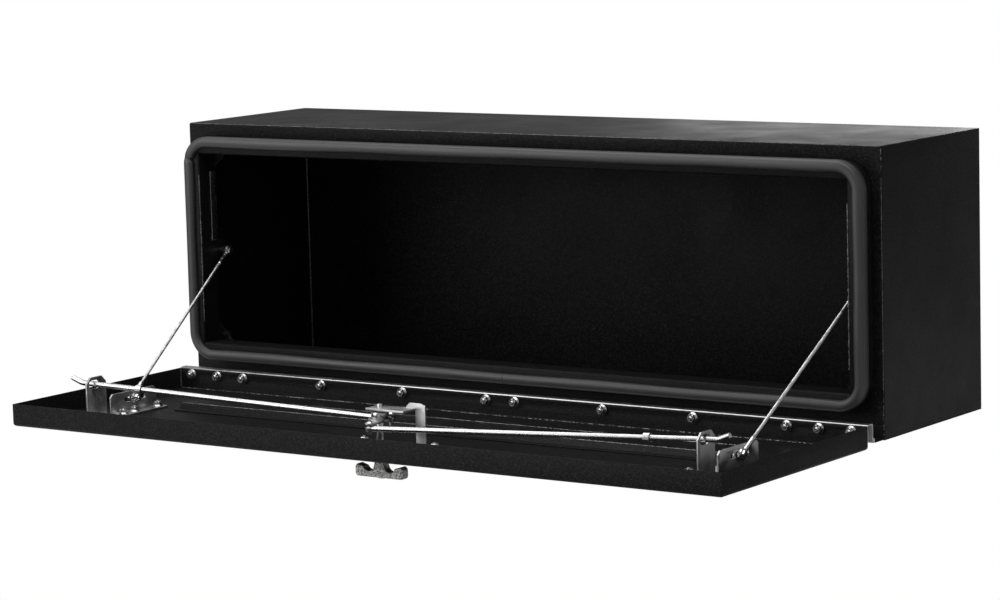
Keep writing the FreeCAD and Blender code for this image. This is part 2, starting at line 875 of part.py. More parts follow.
def cam_arm(side):
    """Bowed arm from the hub to one pin."""
    half_chord = cam_radius / 2
    bend = (half_chord ** 2 + cam_arm_bow ** 2) / (2 * cam_arm_bow)
    spread = math.degrees(math.asin(half_chord / bend))
    centre = Vec(half_chord, cam_arm_bow - bend, cam_plate_bottom)
    outer = Part.makeCylinder(bend + cam_arm_width / 2, cam_plate_thickness, centre, Vec(0, 0, 1), 2 * spread)
    arm = outer.cut(Part.makeCylinder(bend - cam_arm_width / 2, cam_plate_thickness, centre))
    arm.rotate(centre, Vec(0, 0, 1), 90 - spread)
    tip = Vec(cam_radius, 0, cam_plate_bottom)
    arm = arm.fuse(Part.makeCylinder(cam_arm_width / 2, cam_plate_thickness, tip))
    arm.rotate(Vec(0, 0, 0), Vec(0, 0, 1), -latch_turn if side > 0 else 180 - latch_turn)
    arm.translate(Vec(0, latch_y, 0))
    return arm


def cam_plate():
    disc = Part.makeCylinder(cam_disc_radius, cam_plate_thickness, Vec(0, latch_y, cam_plate_bottom))
    plate = disc.fuse([cam_arm(1), cam_arm(-1)])
    middle = Vec(0, latch_y, cam_plate_bottom)
    bore = flatted_bore(fitting_flat_count, spindle_radius + press_play, middle, Vec(0, 0, 1),
                        cam_plate_thickness)
    plate = plate.cut(bore)
    for side in (-1, 1):
        low = pin_place(side) + Vec(0, 0, cam_plate_bottom)
        plate = plate.cut(flatted_rod(fitting_flat_count, cam_pin_radius + press_play, low,
                                      Vec(0, 0, 1), cam_plate_thickness))
    return plate.removeSplitter()


def cam_hub():
    seat = Vec(0, latch_y, cam_top())
    hub = flatted_rod(rod_flat_count, hub_radius, seat, Vec(0, 0, 1), hub_height)
    return hub.cut(flatted_bore(fitting_flat_count, stud_radius + press_play, seat, Vec(0, 0, 1), hub_height))


def cam_pins():
    pins = []
    for side in (-1, 1):
        foot = pin_place(side) + Vec(0, 0, cam_pin_bottom)
        head = pin_place(side) + Vec(0, 0, cam_top())
        pin = flatted_rod(fitting_flat_count, cam_pin_radius, foot, Vec(0, 0, 1), cam_top() - cam_pin_bottom)
        pins.append(pin.fuse(flatted_cone(barrel_flat_count, cam_pin_head, cam_pin_crown, head,
                                          Vec(0, 0, 1), cam_pin_head_height)))
    return group(pins)


def pin_clips():
    clips = []
    level = rod_inner_height - rod_eye_thickness / 2 - pin_clip_thickness - pin_clip_gap
    for side in (-1, 1):
        seat = pin_place(side) + Vec(0, 0, level)
        clip = flatted_rod(fitting_flat_count, pin_clip_radius, seat, Vec(0, 0, 1), pin_clip_thickness)
        bore = flatted_bore(barrel_flat_count, cam_pin_radius + press_play, seat, Vec(0, 0, 1),
                            pin_clip_thickness)
        clips.append(clip.cut(bore))
    return group(clips)


def spindle():
    """Shaft from the handle's socket to the cam, then a thinner stud through the bridge."""
    foot = Vec(0, latch_y, -handle_neck_top)
    shaft = Part.makeCylinder(spindle_radius, cam_top() + handle_neck_top, foot)
    stud = Part.makeCylinder(stud_radius, stud_top - cam_top(), Vec(0, latch_y, cam_top()))
    return shaft.fuse(stud).removeSplitter()


def spindle_nut():
    seat = Vec(0, latch_y, cam_top() + hub_height)
    height = bridge_bottom - seat.z - spindle_nut_gap
    nut = flatted_bore(fastener_flat_count, nut_width / 2, seat, Vec(0, 0, 1), height)
    return nut.cut(flatted_bore(fitting_flat_count, stud_radius + press_play, seat, Vec(0, 0, 1), height))


def t_handle():
    """Cast bar with a finger scoop on each side of its neck."""
    low = -handle_bottom
    top = -handle_end_top
    half_thickness = handle_thickness / 2
    bar = block(-handle_half_length, handle_half_length, -half_thickness, half_thickness, low, top)
    ends = [edge for edge in bar.Edges if edge.BoundBox.YLength > handle_thickness / 2]
    bar = bar.makeChamfer(handle_corner, ends)
    rim = [edge for edge in bar.Edges if edge.BoundBox.YLength < near]
    bar = bar.makeChamfer(handle_edge, rim)
    sagitta = handle_scoop - handle_end_top
    half_chord = handle_scoop_length / 2
    scoop_radius = (half_chord ** 2 + sagitta ** 2) / (2 * sagitta)
    for side in (-1, 1):
        centre = Vec(side * handle_scoop_place, -half_thickness, -handle_scoop + scoop_radius)
        bar = bar.cut(Part.makeCylinder(scoop_radius, handle_thickness, centre, Vec(0, 1, 0)))
    neck_low = -handle_scoop - handle_neck_sink
    neck = block(-handle_neck, handle_neck, -handle_neck, handle_neck, neck_low, -handle_neck_top)
    upright = [edge for edge in neck.Edges if abs(edge.tangentAt(edge.FirstParameter).z) > 0.9]
    neck = neck.makeChamfer(handle_neck_corner, upright)
    neck = neck.common(block(-handle_neck, handle_neck, -half_thickness, half_thickness,
                             neck_low, -handle_neck_top))
    bar = bar.fuse(neck)
    bar.translate(Vec(0, latch_y, 0))
    stem_height = skin_low - rose_height - handle_stem_gap + handle_scoop
    stem_foot = Vec(0, latch_y, -handle_scoop)
    handle = bar.fuse(flatted_rod(rod_flat_count, handle_stem_radius, stem_foot, Vec(0, 0, 1), stem_height))
    socket = flatted_bore(fitting_flat_count, spindle_radius + press_play, Vec(0, latch_y, -handle_neck_top),
                          Vec(0, 0, 1), handle_neck_top)
    lock_hole = Part.makeCylinder(lock_radius + fit_gap, lock_depth - lock_proud, Vec(0, latch_y, low))
    return handle.cut(socket).cut(lock_hole).removeSplitter()


def lock_plug():
    low = -handle_bottom - lock_proud
    plug = Part.makeCylinder(lock_radius, lock_depth - lock_end_gap, Vec(0, latch_y, low))
    keyway = block(-keyway_length / 2, keyway_length / 2, latch_y - keyway_width / 2,
                   latch_y + keyway_width / 2, low, low + keyway_depth)
    return plug.cut(keyway)


# Latch rods
def to_rest(shape):
    """Move a right-hand rod piece from its latched line to its drawn-in line."""
    pin = pin_place(1)
    latched_pin = Vec(cam_radius, latch_y, 0)
    turn = math.degrees(math.atan2(latch_y - pin.y, guide_reach - pin.x))
    shape.translate(pin - latched_pin)
    shape.rotate(pin, Vec(0, 0, 1), turn)
    return shape


def turned_about(shape):
    """Half turn about the spindle, which carries the right rod to the left one."""
    shape = shape.copy()
    shape.rotate(Vec(0, latch_y, 0), Vec(0, 0, 1), 180)
    return shape


def rod_direction():
    rise = rod_bend_height - rod_inner_height
    run = rod_bend_reach - cam_radius
    return Vec(run, 0, rise).normalize()


def right_rod():
    """Round rod with a flat eye on the cam pin and a bent tip that passes the strike.

    The bent tip is a solid of its own, so that the straight run keeps a slim collision shape
    where it slides in the guide."""
    eye_place = Vec(cam_radius, latch_y, rod_inner_height)
    start = eye_place + rod_direction() * rod_start
    bend = Vec(rod_bend_reach, latch_y, rod_bend_height)
    tip = Vec(rod_tip_reach, latch_y, rod_tip_height)
    tip_start = bend - rod_direction() * rod_radius
    path = Part.Wire(path_edges([tip_start, bend, tip], [rod_bend_radius]))
    ring = polygon(rod_flat_count, rod_radius, 0)
    ring.Placement = FreeCAD.Placement(tip_start, FreeCAD.Rotation(Vec(0, 0, 1), rod_direction()))
    bent_tip = path.makePipeShell([ring], True, False)
    run = flatted_rod(rod_flat_count, rod_radius, start, rod_direction(), (tip_start - start).Length)
    eye_low = eye_place - Vec(0, 0, rod_eye_thickness / 2)
    run = run.fuse(flatted_rod(rod_flat_count, rod_eye_radius, eye_low, Vec(0, 0, 1), rod_eye_thickness))
    run = run.cut(Part.makeCylinder(cam_pin_radius + fit_gap, 4 * rod_eye_thickness,
                                    eye_low - Vec(0, 0, rod_eye_thickness)))
    return group([run, bent_tip])


def right_rod_collar():
    run = (rod_bend_reach - rod_collar_setback - cam_radius) / rod_direction().x
    start = Vec(cam_radius, latch_y, rod_inner_height) + rod_direction() * run
    collar = flatted_rod(fitting_flat_count, rod_collar_radius, start, rod_direction(), rod_collar_length)
    bore = flatted_bore(fitting_flat_count, rod_radius + press_play, start, rod_direction(), rod_collar_length)
    return collar.cut(bore)


# Cables, from the anchors behind the frame to the brackets on the door
def cable_ends():
    top = Vec(cable_top_reach, front + cable_top_back, cable_top_height)
    bottom = Vec(cable_bottom_reach, front - cable_bottom_forward, cable_bottom_height)
    return top, bottom


def fold_point():
    top, bottom = cable_ends()
    span = math.hypot(bottom.y - top.y, bottom.z - top.z)
    return top + (bottom - top) * (cable_fold / span)


def terminal(eye, towards):
    """Swaged end: an eye across the bolt and a round ferrule on the wire."""
    direction = (towards - eye).normalize()
    left_face = eye - Vec(eye_thickness / 2, 0, 0)
    ring = flatted_rod(rod_flat_count, eye_radius, left_face, Vec(1, 0, 0), eye_thickness)
    ferrule_foot = eye + direction * ferrule_start
    ferrule = flatted_rod(fitting_flat_count, ferrule_radius, ferrule_foot, direction, ferrule_length)
    hole_start = eye - Vec(eye_thickness, 0, 0)
    hole = Part.makeCylinder(cable_bolt_radius + eye_play, 2 * eye_thickness, hole_start, Vec(1, 0, 0))
    return ring.fuse(ferrule).cut(hole).removeSplitter()


def cable_run(eye, towards):
    """Wire from the mouth of a ferrule to the fold point."""
    direction = (towards - eye).normalize()
    start = eye + direction * (ferrule_start + ferrule_length)
    return flatted_rod(fitting_flat_count, cable_radius, start, direction, (towards - start).Length)


def right_cable_anchor():
    """Plate welded to the hidden side of the jamb's return."""
    top, bottom = cable_ends()
    inner = open_half + sheet
    plate = block(inner, inner + anchor_plate, return_rear - anchor_overlap, front + anchor_back,
                  top.z - anchor_height / 2, top.z + anchor_height / 2)
    rounded = []
    for edge in plate.Edges:
        box = edge.BoundBox
        if box.YMin > front + anchor_back - near and box.XLength > anchor_plate / 2:
            rounded.append(edge)
    plate = plate.makeFillet(anchor_corner, rounded)
    hole_start = Vec(inner, top.y, top.z)
    hole_radius = cable_bolt_radius + hole_play
    return plate.cut(flatted_bore(fitting_flat_count, hole_radius, hole_start, Vec(1, 0, 0), anchor_plate))


def right_anchor_spacer():
    top, bottom = cable_ends()
    start = top + Vec(eye_thickness / 2 + eye_gap, 0, 0)
    length = open_half + sheet - start.x
    spacer = flatted_rod(fitting_flat_count, spacer_radius, start, Vec(1, 0, 0), length)
    bore = flatted_bore(fitting_flat_count, cable_bolt_radius + nut_play, start, Vec(1, 0, 0), length)
    return spacer.cut(bore)


def pivot_bolt(seat, axis, grip):
    """Bolt that a cable eye turns on."""
    shank = flatted_rod(fitting_flat_count, cable_bolt_radius, seat, axis, grip)
    head = flatted_cone(fastener_flat_count, cable_head_radius, cable_head_crown,
                        seat, axis * -1, cable_head_height)
    return shank.fuse(head)


def pivot_nut(seat, axis):
    return seated_nut(seat, axis, cable_bolt_radius + nut_play, fitting_flat_count)


def right_anchor_bolt():
    top, bottom = cable_ends()
    seat = top - Vec(eye_thickness / 2 + eye_gap, 0, 0)
    grip = open_half + sheet + anchor_plate + nut_height + bolt_tip - seat.x
    return pivot_bolt(seat, Vec(1, 0, 0), grip)


def right_anchor_nut():
    top, bottom = cable_ends()
    seat = Vec(open_half + sheet + anchor_plate, top.y, top.z)
    return pivot_nut(seat, Vec(1, 0, 0))


def right_cable_bolt():
    top, bottom = cable_ends()
    seat = bottom + Vec(eye_thickness / 2 + eye_gap, 0, 0)
    grip = seat.x - (bracket_reach - bracket_thickness) + nut_height + bolt_tip
    return pivot_bolt(seat, Vec(-1, 0, 0), grip)


def right_cable_nut():
    top, bottom = cable_ends()
    seat = Vec(bracket_reach - bracket_thickness, bottom.y, bottom.z)
    return pivot_nut(seat, Vec(-1, 0, 0))


def both(shape):
    return group([shape, mirrored(shape)])


def all_nodes():
    nodes = {
        "top_panel": top_panel(),
        "bottom_panel": bottom_panel(),
        "right_side_panel": right_side_panel(),
        "left_side_panel": mirrored(right_side_panel()),
        "back_panel": back_panel(),
        "door_seal": door_seal(),
        "corner_gussets": group([corner_gusset(*place) for place in gusset_places()]),
        "gusset_bolts": group([gusset_bolt(*place) for place in gusset_places()]),
        "right_strike": right_strike(),
        "left_strike": mirrored(right_strike()),
        "hinge_box_leaf": hinge_box_leaf(),
        "hinge_door_leaf": hinge_door_leaf(),
        "hinge_pin": hinge_pin(),
        "leaf_rivets": leaf_rivets(),
        "flange_rivets": flange_rivets(),
        "right_cable_anchor": right_cable_anchor(),
        "left_cable_anchor": mirrored(right_cable_anchor()),
        "anchor_spacers": both(right_anchor_spacer()),
        "anchor_bolts": both(right_anchor_bolt()),
        "door_pan": door_pan(),
        "door_stiffener": door_stiffener(),
        "hinge_bolts": hinge_bolts(),
        "hinge_nuts": hinge_nuts(),
        "right_rod_guide": right_rod_guide(),
        "left_rod_guide": mirrored(right_rod_guide()),
        "right_cable_bracket": right_cable_bracket(),
        "left_cable_bracket": mirrored(right_cable_bracket()),
        "floor_studs": floor_studs(),
        "floor_nuts": floor_nuts(),
        "cable_bolts": both(right_cable_bolt()),
        "cable_nuts": both(right_cable_nut()),
        "latch_base_plate": latch_base_plate(),
        "latch_bridge": latch_bridge(),
        "handle_rose": handle_rose(),
        "spindle_bush": spindle_bush(),
        "t_handle": t_handle(),
        "spindle": spindle(),
        "cam_plate": cam_plate(),
        "cam_hub": cam_hub(),
        "cam_pins": cam_pins(),
        "pin_clips": pin_clips(),
        "spindle_nut": spindle_nut(),
        "lock_plug": lock_plug(),
    }
    nodes.update(frame_members())
    box_nuts = [gusset_nut(*place) for place in gusset_places()]
    box_nuts.extend([right_anchor_nut(), mirrored(right_anchor_nut())])
    nodes["box_nuts"] = group(box_nuts)
    rod = to_rest(right_rod())
    collar = to_rest(right_rod_collar())
    nodes["right_rod"] = rod
    nodes["left_rod"] = turned_about(rod)
    nodes["right_rod_collar"] = collar
    nodes["left_rod_collar"] = turned_about(collar)
    top, bottom = cable_ends()
    fold = fold_point()
    cable_parts = {
        "upper_terminal": terminal(top, bottom),
        "lower_terminal": terminal(bottom, top),
        "cable_upper_run": cable_run(top, fold),
        "cable_lower_run": cable_run(bottom, fold),
    }
    for name, shape in cable_parts.items():
        nodes["right_" + name] = shape
        nodes["left_" + name] = mirrored(shape)
    return nodes


for name, shape in all_nodes().items():
    if not shape.isValid():
        print("not valid:", name)
    shape.exportStep("parts/" + name + ".step")
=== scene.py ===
import json
import math
import random

import bmesh
import bpy
from mathutils import Matrix, Vector

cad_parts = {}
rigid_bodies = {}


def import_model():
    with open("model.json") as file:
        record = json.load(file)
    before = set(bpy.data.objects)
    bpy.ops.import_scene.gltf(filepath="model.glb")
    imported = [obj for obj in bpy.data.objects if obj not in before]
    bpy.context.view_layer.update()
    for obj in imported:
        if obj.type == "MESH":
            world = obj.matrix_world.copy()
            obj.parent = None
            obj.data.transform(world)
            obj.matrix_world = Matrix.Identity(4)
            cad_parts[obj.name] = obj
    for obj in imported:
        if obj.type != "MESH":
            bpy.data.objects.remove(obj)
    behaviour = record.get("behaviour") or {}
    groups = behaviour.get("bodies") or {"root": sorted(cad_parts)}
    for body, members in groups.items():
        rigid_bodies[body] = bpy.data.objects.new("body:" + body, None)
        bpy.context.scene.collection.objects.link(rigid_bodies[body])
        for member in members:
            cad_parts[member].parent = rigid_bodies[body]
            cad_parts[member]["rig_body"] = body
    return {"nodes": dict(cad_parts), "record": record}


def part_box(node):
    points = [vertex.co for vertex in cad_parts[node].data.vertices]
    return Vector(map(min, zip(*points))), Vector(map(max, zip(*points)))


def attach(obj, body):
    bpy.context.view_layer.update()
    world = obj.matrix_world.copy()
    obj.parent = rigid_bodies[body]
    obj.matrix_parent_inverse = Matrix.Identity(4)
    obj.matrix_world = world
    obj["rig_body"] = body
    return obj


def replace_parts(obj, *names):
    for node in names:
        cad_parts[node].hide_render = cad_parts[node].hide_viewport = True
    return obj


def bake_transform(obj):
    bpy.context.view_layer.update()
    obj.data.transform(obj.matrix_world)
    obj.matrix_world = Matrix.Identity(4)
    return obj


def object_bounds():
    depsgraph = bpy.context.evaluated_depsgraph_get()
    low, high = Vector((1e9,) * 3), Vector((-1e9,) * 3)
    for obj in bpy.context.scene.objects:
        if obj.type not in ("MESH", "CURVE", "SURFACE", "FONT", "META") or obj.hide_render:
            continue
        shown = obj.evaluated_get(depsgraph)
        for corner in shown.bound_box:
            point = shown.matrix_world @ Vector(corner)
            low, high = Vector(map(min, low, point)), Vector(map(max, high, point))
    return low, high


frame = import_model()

cad_low, cad_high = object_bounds()

# Camera, at the photograph's place
CAMERA_PLACE = (2.8847, -4.3096, 0.8434)
CAMERA_YAW = 34.977
CAMERA_PITCH = 7.660
CAMERA_ROLL = 1.508
CAMERA_LENS = 125.4
SENSOR_WIDTH = 36.0

# Studio
FLOOR_DROP = 0.55
STUDIO_AMBIENT = 0.30
STUDIO_REFLECTION = 0.30
WHITE = (1.0, 1.0, 1.0, 1.0)

# Door cables, on the right side; the left ones are mirrored
CABLE_TOP = Vector((0.5600, -0.12305, 0.2060))
CABLE_FOLD = Vector((0.54717, -0.24859, 0.11854))
CABLE_BOTTOM = Vector((0.5321, -0.39605, 0.0158))
CABLE_RADIUS = 0.0024
FERRULE_START = 0.007
FERRULE_LENGTH = 0.026
FERRULE_RADIUS = 0.0035
EYE_RADIUS = 0.008
EYE_THICKNESS = 0.0056
EYE_BORE = 0.0033
STRANDS = 10
STRAND_SHARE = 0.27
STRAND_PITCH = 0.020

# Latch rods, on the right side and on their latched line
LATCH_Y = -0.48505
CAM_RADIUS = 0.040
ROD_EYE_HEIGHT = 0.030
ROD_BEND = Vector((0.580, LATCH_Y, 0.0504))
ROD_TIP = Vector((0.598, LATCH_Y, 0.0576))
ROD_RADIUS = 0.004
ROD_EYE_RADIUS = 0.0062
ROD_EYE_THICKNESS = 0.005
PIN_BORE = 0.00306
GUIDE_REACH = 0.528

# Fasteners
NUT_WIDTH = 0.0112
FLANGE_RADIUS = 0.0081
FLANGE_THICKNESS = 0.0015
THREAD_PITCH = 0.001
THREAD_DEPTH = 0.00045
BOLT_RADIUS = 0.0031
BOLT_HEAD_HEIGHT = 0.0026

# Directions that fasteners stand in
UP = Vector((0, 0, 1))
FORWARD = Vector((0, -1, 0))
BACKWARD = Vector((0, 1, 0))
RIGHTWARD = Vector((1, 0, 0))
LEFTWARD = Vector((-1, 0, 0))


def grey(value, warm=0.0):
    """Neutral colour, a little warmer or cooler."""
    return (value * (1 + warm), value, value * (1 - warm), 1.0)


# Camera
def look_axes(yaw, pitch, roll):
    """Right, down and forward directions of a camera, from three turns in degrees."""
    yaw, pitch, roll = (math.radians(angle) for angle in (yaw, pitch, roll))
    forward = Vector((-math.sin(yaw) * math.cos(pitch), math.cos(yaw) * math.cos(pitch), -math.sin(pitch)))
    right = Vector((math.cos(yaw), math.sin(yaw), 0.0))
    down = forward.cross(right)
    turned_right = right * math.cos(roll) + down * math.sin(roll)
    turned_down = down * math.cos(roll) - right * math.sin(roll)
    return turned_right, turned_down, forward


def add_camera():
    data = bpy.data.cameras.new("camera")
    camera = bpy.data.objects.new("camera", data)
    bpy.context.scene.collection.objects.link(camera)
    data.lens = CAMERA_LENS
    data.sensor_width = SENSOR_WIDTH
    data.clip_end = 60.0
    right, down, forward = look_axes(CAMERA_YAW, CAMERA_PITCH, CAMERA_ROLL)
    turn = Matrix((right, -down, -forward)).transposed()
    camera.matrix_world = Matrix.Translation(CAMERA_PLACE) @ turn.to_4x4()
    bpy.context.scene.camera = camera


add_camera()


# Shader node helpers
def node(tree, kind, **settings):
    made = tree.nodes.new(kind)
    for name, value in settings.items():
        setattr(made, name, value)
    return made


def noise(tree, vector, scale, detail=3.0, roughness=0.5):
    made = node(tree, "ShaderNodeTexNoise")
    made.inputs["Scale"].default_value = scale
    made.inputs["Detail"].default_value = detail
    made.inputs["Roughness"].default_value = roughness
    tree.links.new(vector, made.inputs["Vector"])
    return made.outputs["Fac"]


def spread(tree, value, low, high, to_low=0.0, to_high=1.0):
    """Map a value from one range to another, clamped."""
    made = node(tree, "ShaderNodeMapRange")
    for name, number in (("From Min", low), ("From Max", high), ("To Min", to_low), ("To Max", to_high)):
        made.inputs[name].default_value = number
    tree.links.new(value, made.inputs["Value"])
    return made.outputs["Result"]


def group_tree(name, inputs, outputs):
    """Empty shader node group with named sockets."""
    tree = bpy.data.node_groups.new(name, "ShaderNodeTree")
    for socket, kind, value in inputs:
        made = tree.interface.new_socket(socket, in_out="INPUT", socket_type=kind)
        if value is not None:
            made.default_value = value
    for socket, kind in outputs:
        tree.interface.new_socket(socket, in_out="OUTPUT", socket_type=kind)
    return tree, tree.nodes.new("NodeGroupInput"), tree.nodes.new("NodeGroupOutput")


def sprayed_coat_group():
    """Texture of a baked powder coat: fine grit, orange peel, lighter and darker specks, uneven gloss, and a mask of
    painted glints.
    """
    tree, inputs, outputs = group_tree(
        "sprayed_coat",
        [("Vector", "NodeSocketVector", None), ("Grit", "NodeSocketFloat", 1500.0), ("Peel", "NodeSocketFloat", 420.0)],
        [("Height", "NodeSocketFloat"), ("Gloss", "NodeSocketFloat"), ("Speck", "NodeSocketFloat"),
         ("PaintedGlint", "NodeSocketFloat")])
    grit = node(tree, "ShaderNodeTexNoise")
    peel = node(tree, "ShaderNodeTexNoise")
    for texture, socket, detail in ((grit, "Grit", 4.0), (peel, "Peel", 2.0)):
        tree.links.new(inputs.outputs["Vector"], texture.inputs["Vector"])
        tree.links.new(inputs.outputs[socket], texture.inputs["Scale"])
        texture.inputs["Detail"].default_value = detail
    mix = node(tree, "ShaderNodeMath", operation="MULTIPLY_ADD")
    tree.links.new(grit.outputs["Fac"], mix.inputs[0])
    mix.inputs[1].default_value = 0.6
    tree.links.new(peel.outputs["Fac"], mix.inputs[2])
    tree.links.new(mix.outputs["Value"], outputs.inputs["Height"])
    cloud = noise(tree, inputs.outputs["Vector"], 9.0, 4.0, 0.6)
    tree.links.new(spread(tree, cloud, 0.3, 0.7), outputs.inputs["Gloss"])
    tree.links.new(spread(tree, peel.outputs["Fac"], 0.42, 0.74), outputs.inputs["Speck"])
    # Painted glints: a mask of tiny spots that the coat paints light grey, standing in for highlights.
    painted_glint_noise = noise(tree, inputs.outputs["Vector"], 640.0, 1.0, 0.5)
    tree.links.new(spread(tree, painted_glint_noise, 0.745, 0.80), outputs.inputs["PaintedGlint"])
    return tree


def brushed_group():
    """Long fine scratches along one direction, and a cloudy tone."""
    tree, inputs, outputs = group_tree(
        "brushed",
        [("Vector", "NodeSocketVector", None), ("Stretch", "NodeSocketVector", (20.0, 1500.0, 1500.0))],
        [("Height", "NodeSocketFloat"), ("Cloud", "NodeSocketFloat")])
    mapping = node(tree, "ShaderNodeVectorMath", operation="MULTIPLY")
    tree.links.new(inputs.outputs["Vector"], mapping.inputs[0])
    tree.links.new(inputs.outputs["Stretch"], mapping.inputs[1])
    lines = noise(tree, mapping.outputs["Vector"], 1.0, 5.0, 0.65)
    tree.links.new(lines, outputs.inputs["Height"])
    cloud = noise(tree, inputs.outputs["Vector"], 60.0, 4.0, 0.6)
    tree.links.new(spread(tree, cloud, 0.3, 0.7), outputs.inputs["Cloud"])
    return tree


def dust_group():
    """Scattered dust and small marks."""
    tree, inputs, outputs = group_tree(
        "dust",
        [("Vector", "NodeSocketVector", None), ("Amount", "NodeSocketFloat", 0.3)],
        [("Mask", "NodeSocketFloat")])
    specks = noise(tree, inputs.outputs["Vector"], 420.0, 2.0, 0.5)
    patches = noise(tree, inputs.outputs["Vector"], 7.0, 3.0, 0.6)
    dots = spread(tree, specks, 0.68, 0.74)
    areas = spread(tree, patches, 0.45, 0.65)
    both = node(tree, "ShaderNodeMath", operation="MULTIPLY")
    tree.links.new(dots, both.inputs[0])
    tree.links.new(areas, both.inputs[1])
    scaled = node(tree, "ShaderNodeMath", operation="MULTIPLY")
    tree.links.new(both.outputs["Value"], scaled.inputs[0])
    tree.links.new(inputs.outputs["Amount"], scaled.inputs[1])
    tree.links.new(scaled.outputs["Value"], outputs.inputs["Mask"])
    return tree


SPRAYED_COAT = sprayed_coat_group()
BRUSHED = brushed_group()
DUST = dust_group()


class Finish:
    """A material under construction, with its shader and its object coordinates."""

    def __init__(self, name, colour, roughness, metallic=0.0, specular=0.5):
        self.material = bpy.data.materials.new(name)
        self.material.use_nodes = True
        self.tree = self.material.node_tree
        self.shader = self.tree.nodes["Principled BSDF"]
        self.shader.inputs["Base Color"].default_value = colour
        self.shader.inputs["Roughness"].default_value = roughness
        self.shader.inputs["Metallic"].default_value = metallic
        self.shader.inputs["Specular IOR Level"].default_value = specular
        self.vector = self.tree.nodes.new("ShaderNodeTexCoord").outputs["Object"]

    def effect(self, group, **values):
        made = node(self.tree, "ShaderNodeGroup", node_tree=group)
        self.tree.links.new(self.vector, made.inputs["Vector"])
        for name, value in values.items():
            made.inputs[name].default_value = value
        return made.outputs

    def blend_colour(self, factor, first, second):
        made = node(self.tree, "ShaderNodeMix", data_type="RGBA")
        self.tree.links.new(factor, made.inputs["Factor"])
        for socket, value in (("A", first), ("B", second)):
            target = [s for s in made.inputs if s.name == socket and s.type == "RGBA"][0]
            if isinstance(value, tuple):
                target.default_value = value
            else:
                self.tree.links.new(value, target)
        return [s for s in made.outputs if s.type == "RGBA"][0]

    def colour_from(self, output):
        self.tree.links.new(output, self.shader.inputs["Base Color"])

    def roughness_from(self, value, low, high, to_low, to_high):
        self.tree.links.new(spread(self.tree, value, low, high, to_low, to_high), self.shader.inputs["Roughness"])

    def bump_from(self, height, depth, strength=1.0):
        bump = node(self.tree, "ShaderNodeBump")
        bump.inputs["Distance"].default_value = depth
        bump.inputs["Strength"].default_value = strength
        self.tree.links.new(height, bump.inputs["Height"])
        self.tree.links.new(bump.outputs["Normal"], self.shader.inputs["Normal"])


def powder_coat(name, tone=0.0085, gloss=(0.38, 0.54), dust=0.12, specular=0.10):
    """Black textured powder coat, with painted glints in its colour."""
    finish = Finish(name, grey(tone), 0.45, specular=specular)
    coat = finish.effect(SPRAYED_COAT)
    specks = finish.effect(DUST, Amount=dust)
    toned = finish.blend_colour(coat["Speck"], grey(tone * 0.55), grey(tone * 2.2, -0.03))
    # Painted highlight: tiny spots of the glint mask turn the base colour light grey.
    with_painted_glints = finish.blend_colour(coat["PaintedGlint"], toned, grey(0.11))
    finish.colour_from(finish.blend_colour(specks["Mask"], with_painted_glints, grey(0.25)))
    finish.roughness_from(coat["Gloss"], 0.0, 1.0, *gloss)
    finish.bump_from(coat["Height"], 0.0005, 0.8)
    return finish.material


def brushed_metal(name, tone, roughness, stretch=(20.0, 1500.0, 1500.0), warm=0.0, depth=0.00002):
    """Plain steel or plated steel with drawn or rolled marks."""
    finish = Finish(name, grey(tone, warm), roughness, metallic=1.0)
    lines = finish.effect(BRUSHED, Stretch=stretch)
    finish.colour_from(finish.blend_colour(lines["Cloud"], grey(tone * 0.88, warm), grey(min(tone * 1.06, 1.0), warm)))
    finish.roughness_from(lines["Cloud"], 0.0, 1.0, roughness * 0.8, roughness * 1.25)
    finish.bump_from(lines["Height"], depth, 0.5)
    return finish.material


def cast_metal(name, tone, roughness):
    """Grey cast zinc with a fine sandy skin."""
    finish = Finish(name, grey(tone), roughness, metallic=0.85)
    coat = finish.effect(SPRAYED_COAT, Grit=1400.0, Peel=560.0)
    grain = finish.blend_colour(coat["Speck"], grey(tone * 0.42), grey(tone * 2.3, 0.02))
    finish.colour_from(grain)
    finish.roughness_from(coat["Gloss"], 0.0, 1.0, roughness * 0.85, roughness * 1.15)
    finish.bump_from(coat["Height"], 0.0006, 1.0)
    return finish.material


def rubber(name, tone):
    """Sponge rubber with a smooth matt skin."""
    finish = Finish(name, grey(tone, -0.01), 0.6, specular=0.45)
    coat = finish.effect(SPRAYED_COAT, Grit=2600.0, Peel=700.0)
    finish.colour_from(finish.blend_colour(coat["Gloss"], grey(tone * 0.85), grey(tone * 1.1)))
    finish.roughness_from(coat["Gloss"], 0.0, 1.0, 0.34, 0.46)
    finish.bump_from(coat["Height"], 0.00008, 0.4)
    return finish.material


# Coat twelve times lighter than the black coat and glossier: a painted highlight for the edge dots and weld beads.
EDGE_HIGHLIGHT_COAT = powder_coat("edge_highlight_coat", 0.10, (0.22, 0.34), 0.0, 1.0)

MATERIALS = {
    "black_coat": powder_coat("black_powder_coat"),
    "stainless": brushed_metal("stainless_steel", 0.60, 0.32),
    "zinc": brushed_metal("bright_zinc", 0.64, 0.26, stretch=(300.0, 300.0, 300.0), depth=0.000004),
    "zinc_dark": brushed_metal("dull_zinc", 0.52, 0.42, stretch=(60.0, 900.0, 900.0), depth=0.00003),
    "rubber": rubber("seal_rubber", 0.040),
    "handle_metal": cast_metal("cast_zinc", 0.30, 0.42),
    "wire": brushed_metal("wire_steel", 0.66, 0.42, stretch=(500.0, 500.0, 500.0), depth=0.000005),
    "lock_metal": brushed_metal("lock_plate", 0.72, 0.16, stretch=(200.0, 200.0, 200.0)),
}


def dress_frame():
    """Give every node from the frame the finish of its slot."""
    for part in frame["record"]["subparts"]:
        mesh_object = frame["nodes"][part["node"]]
        for slot in mesh_object.material_slots:
            slot.material = MATERIALS[part["material_slot"]]


dress_frame()


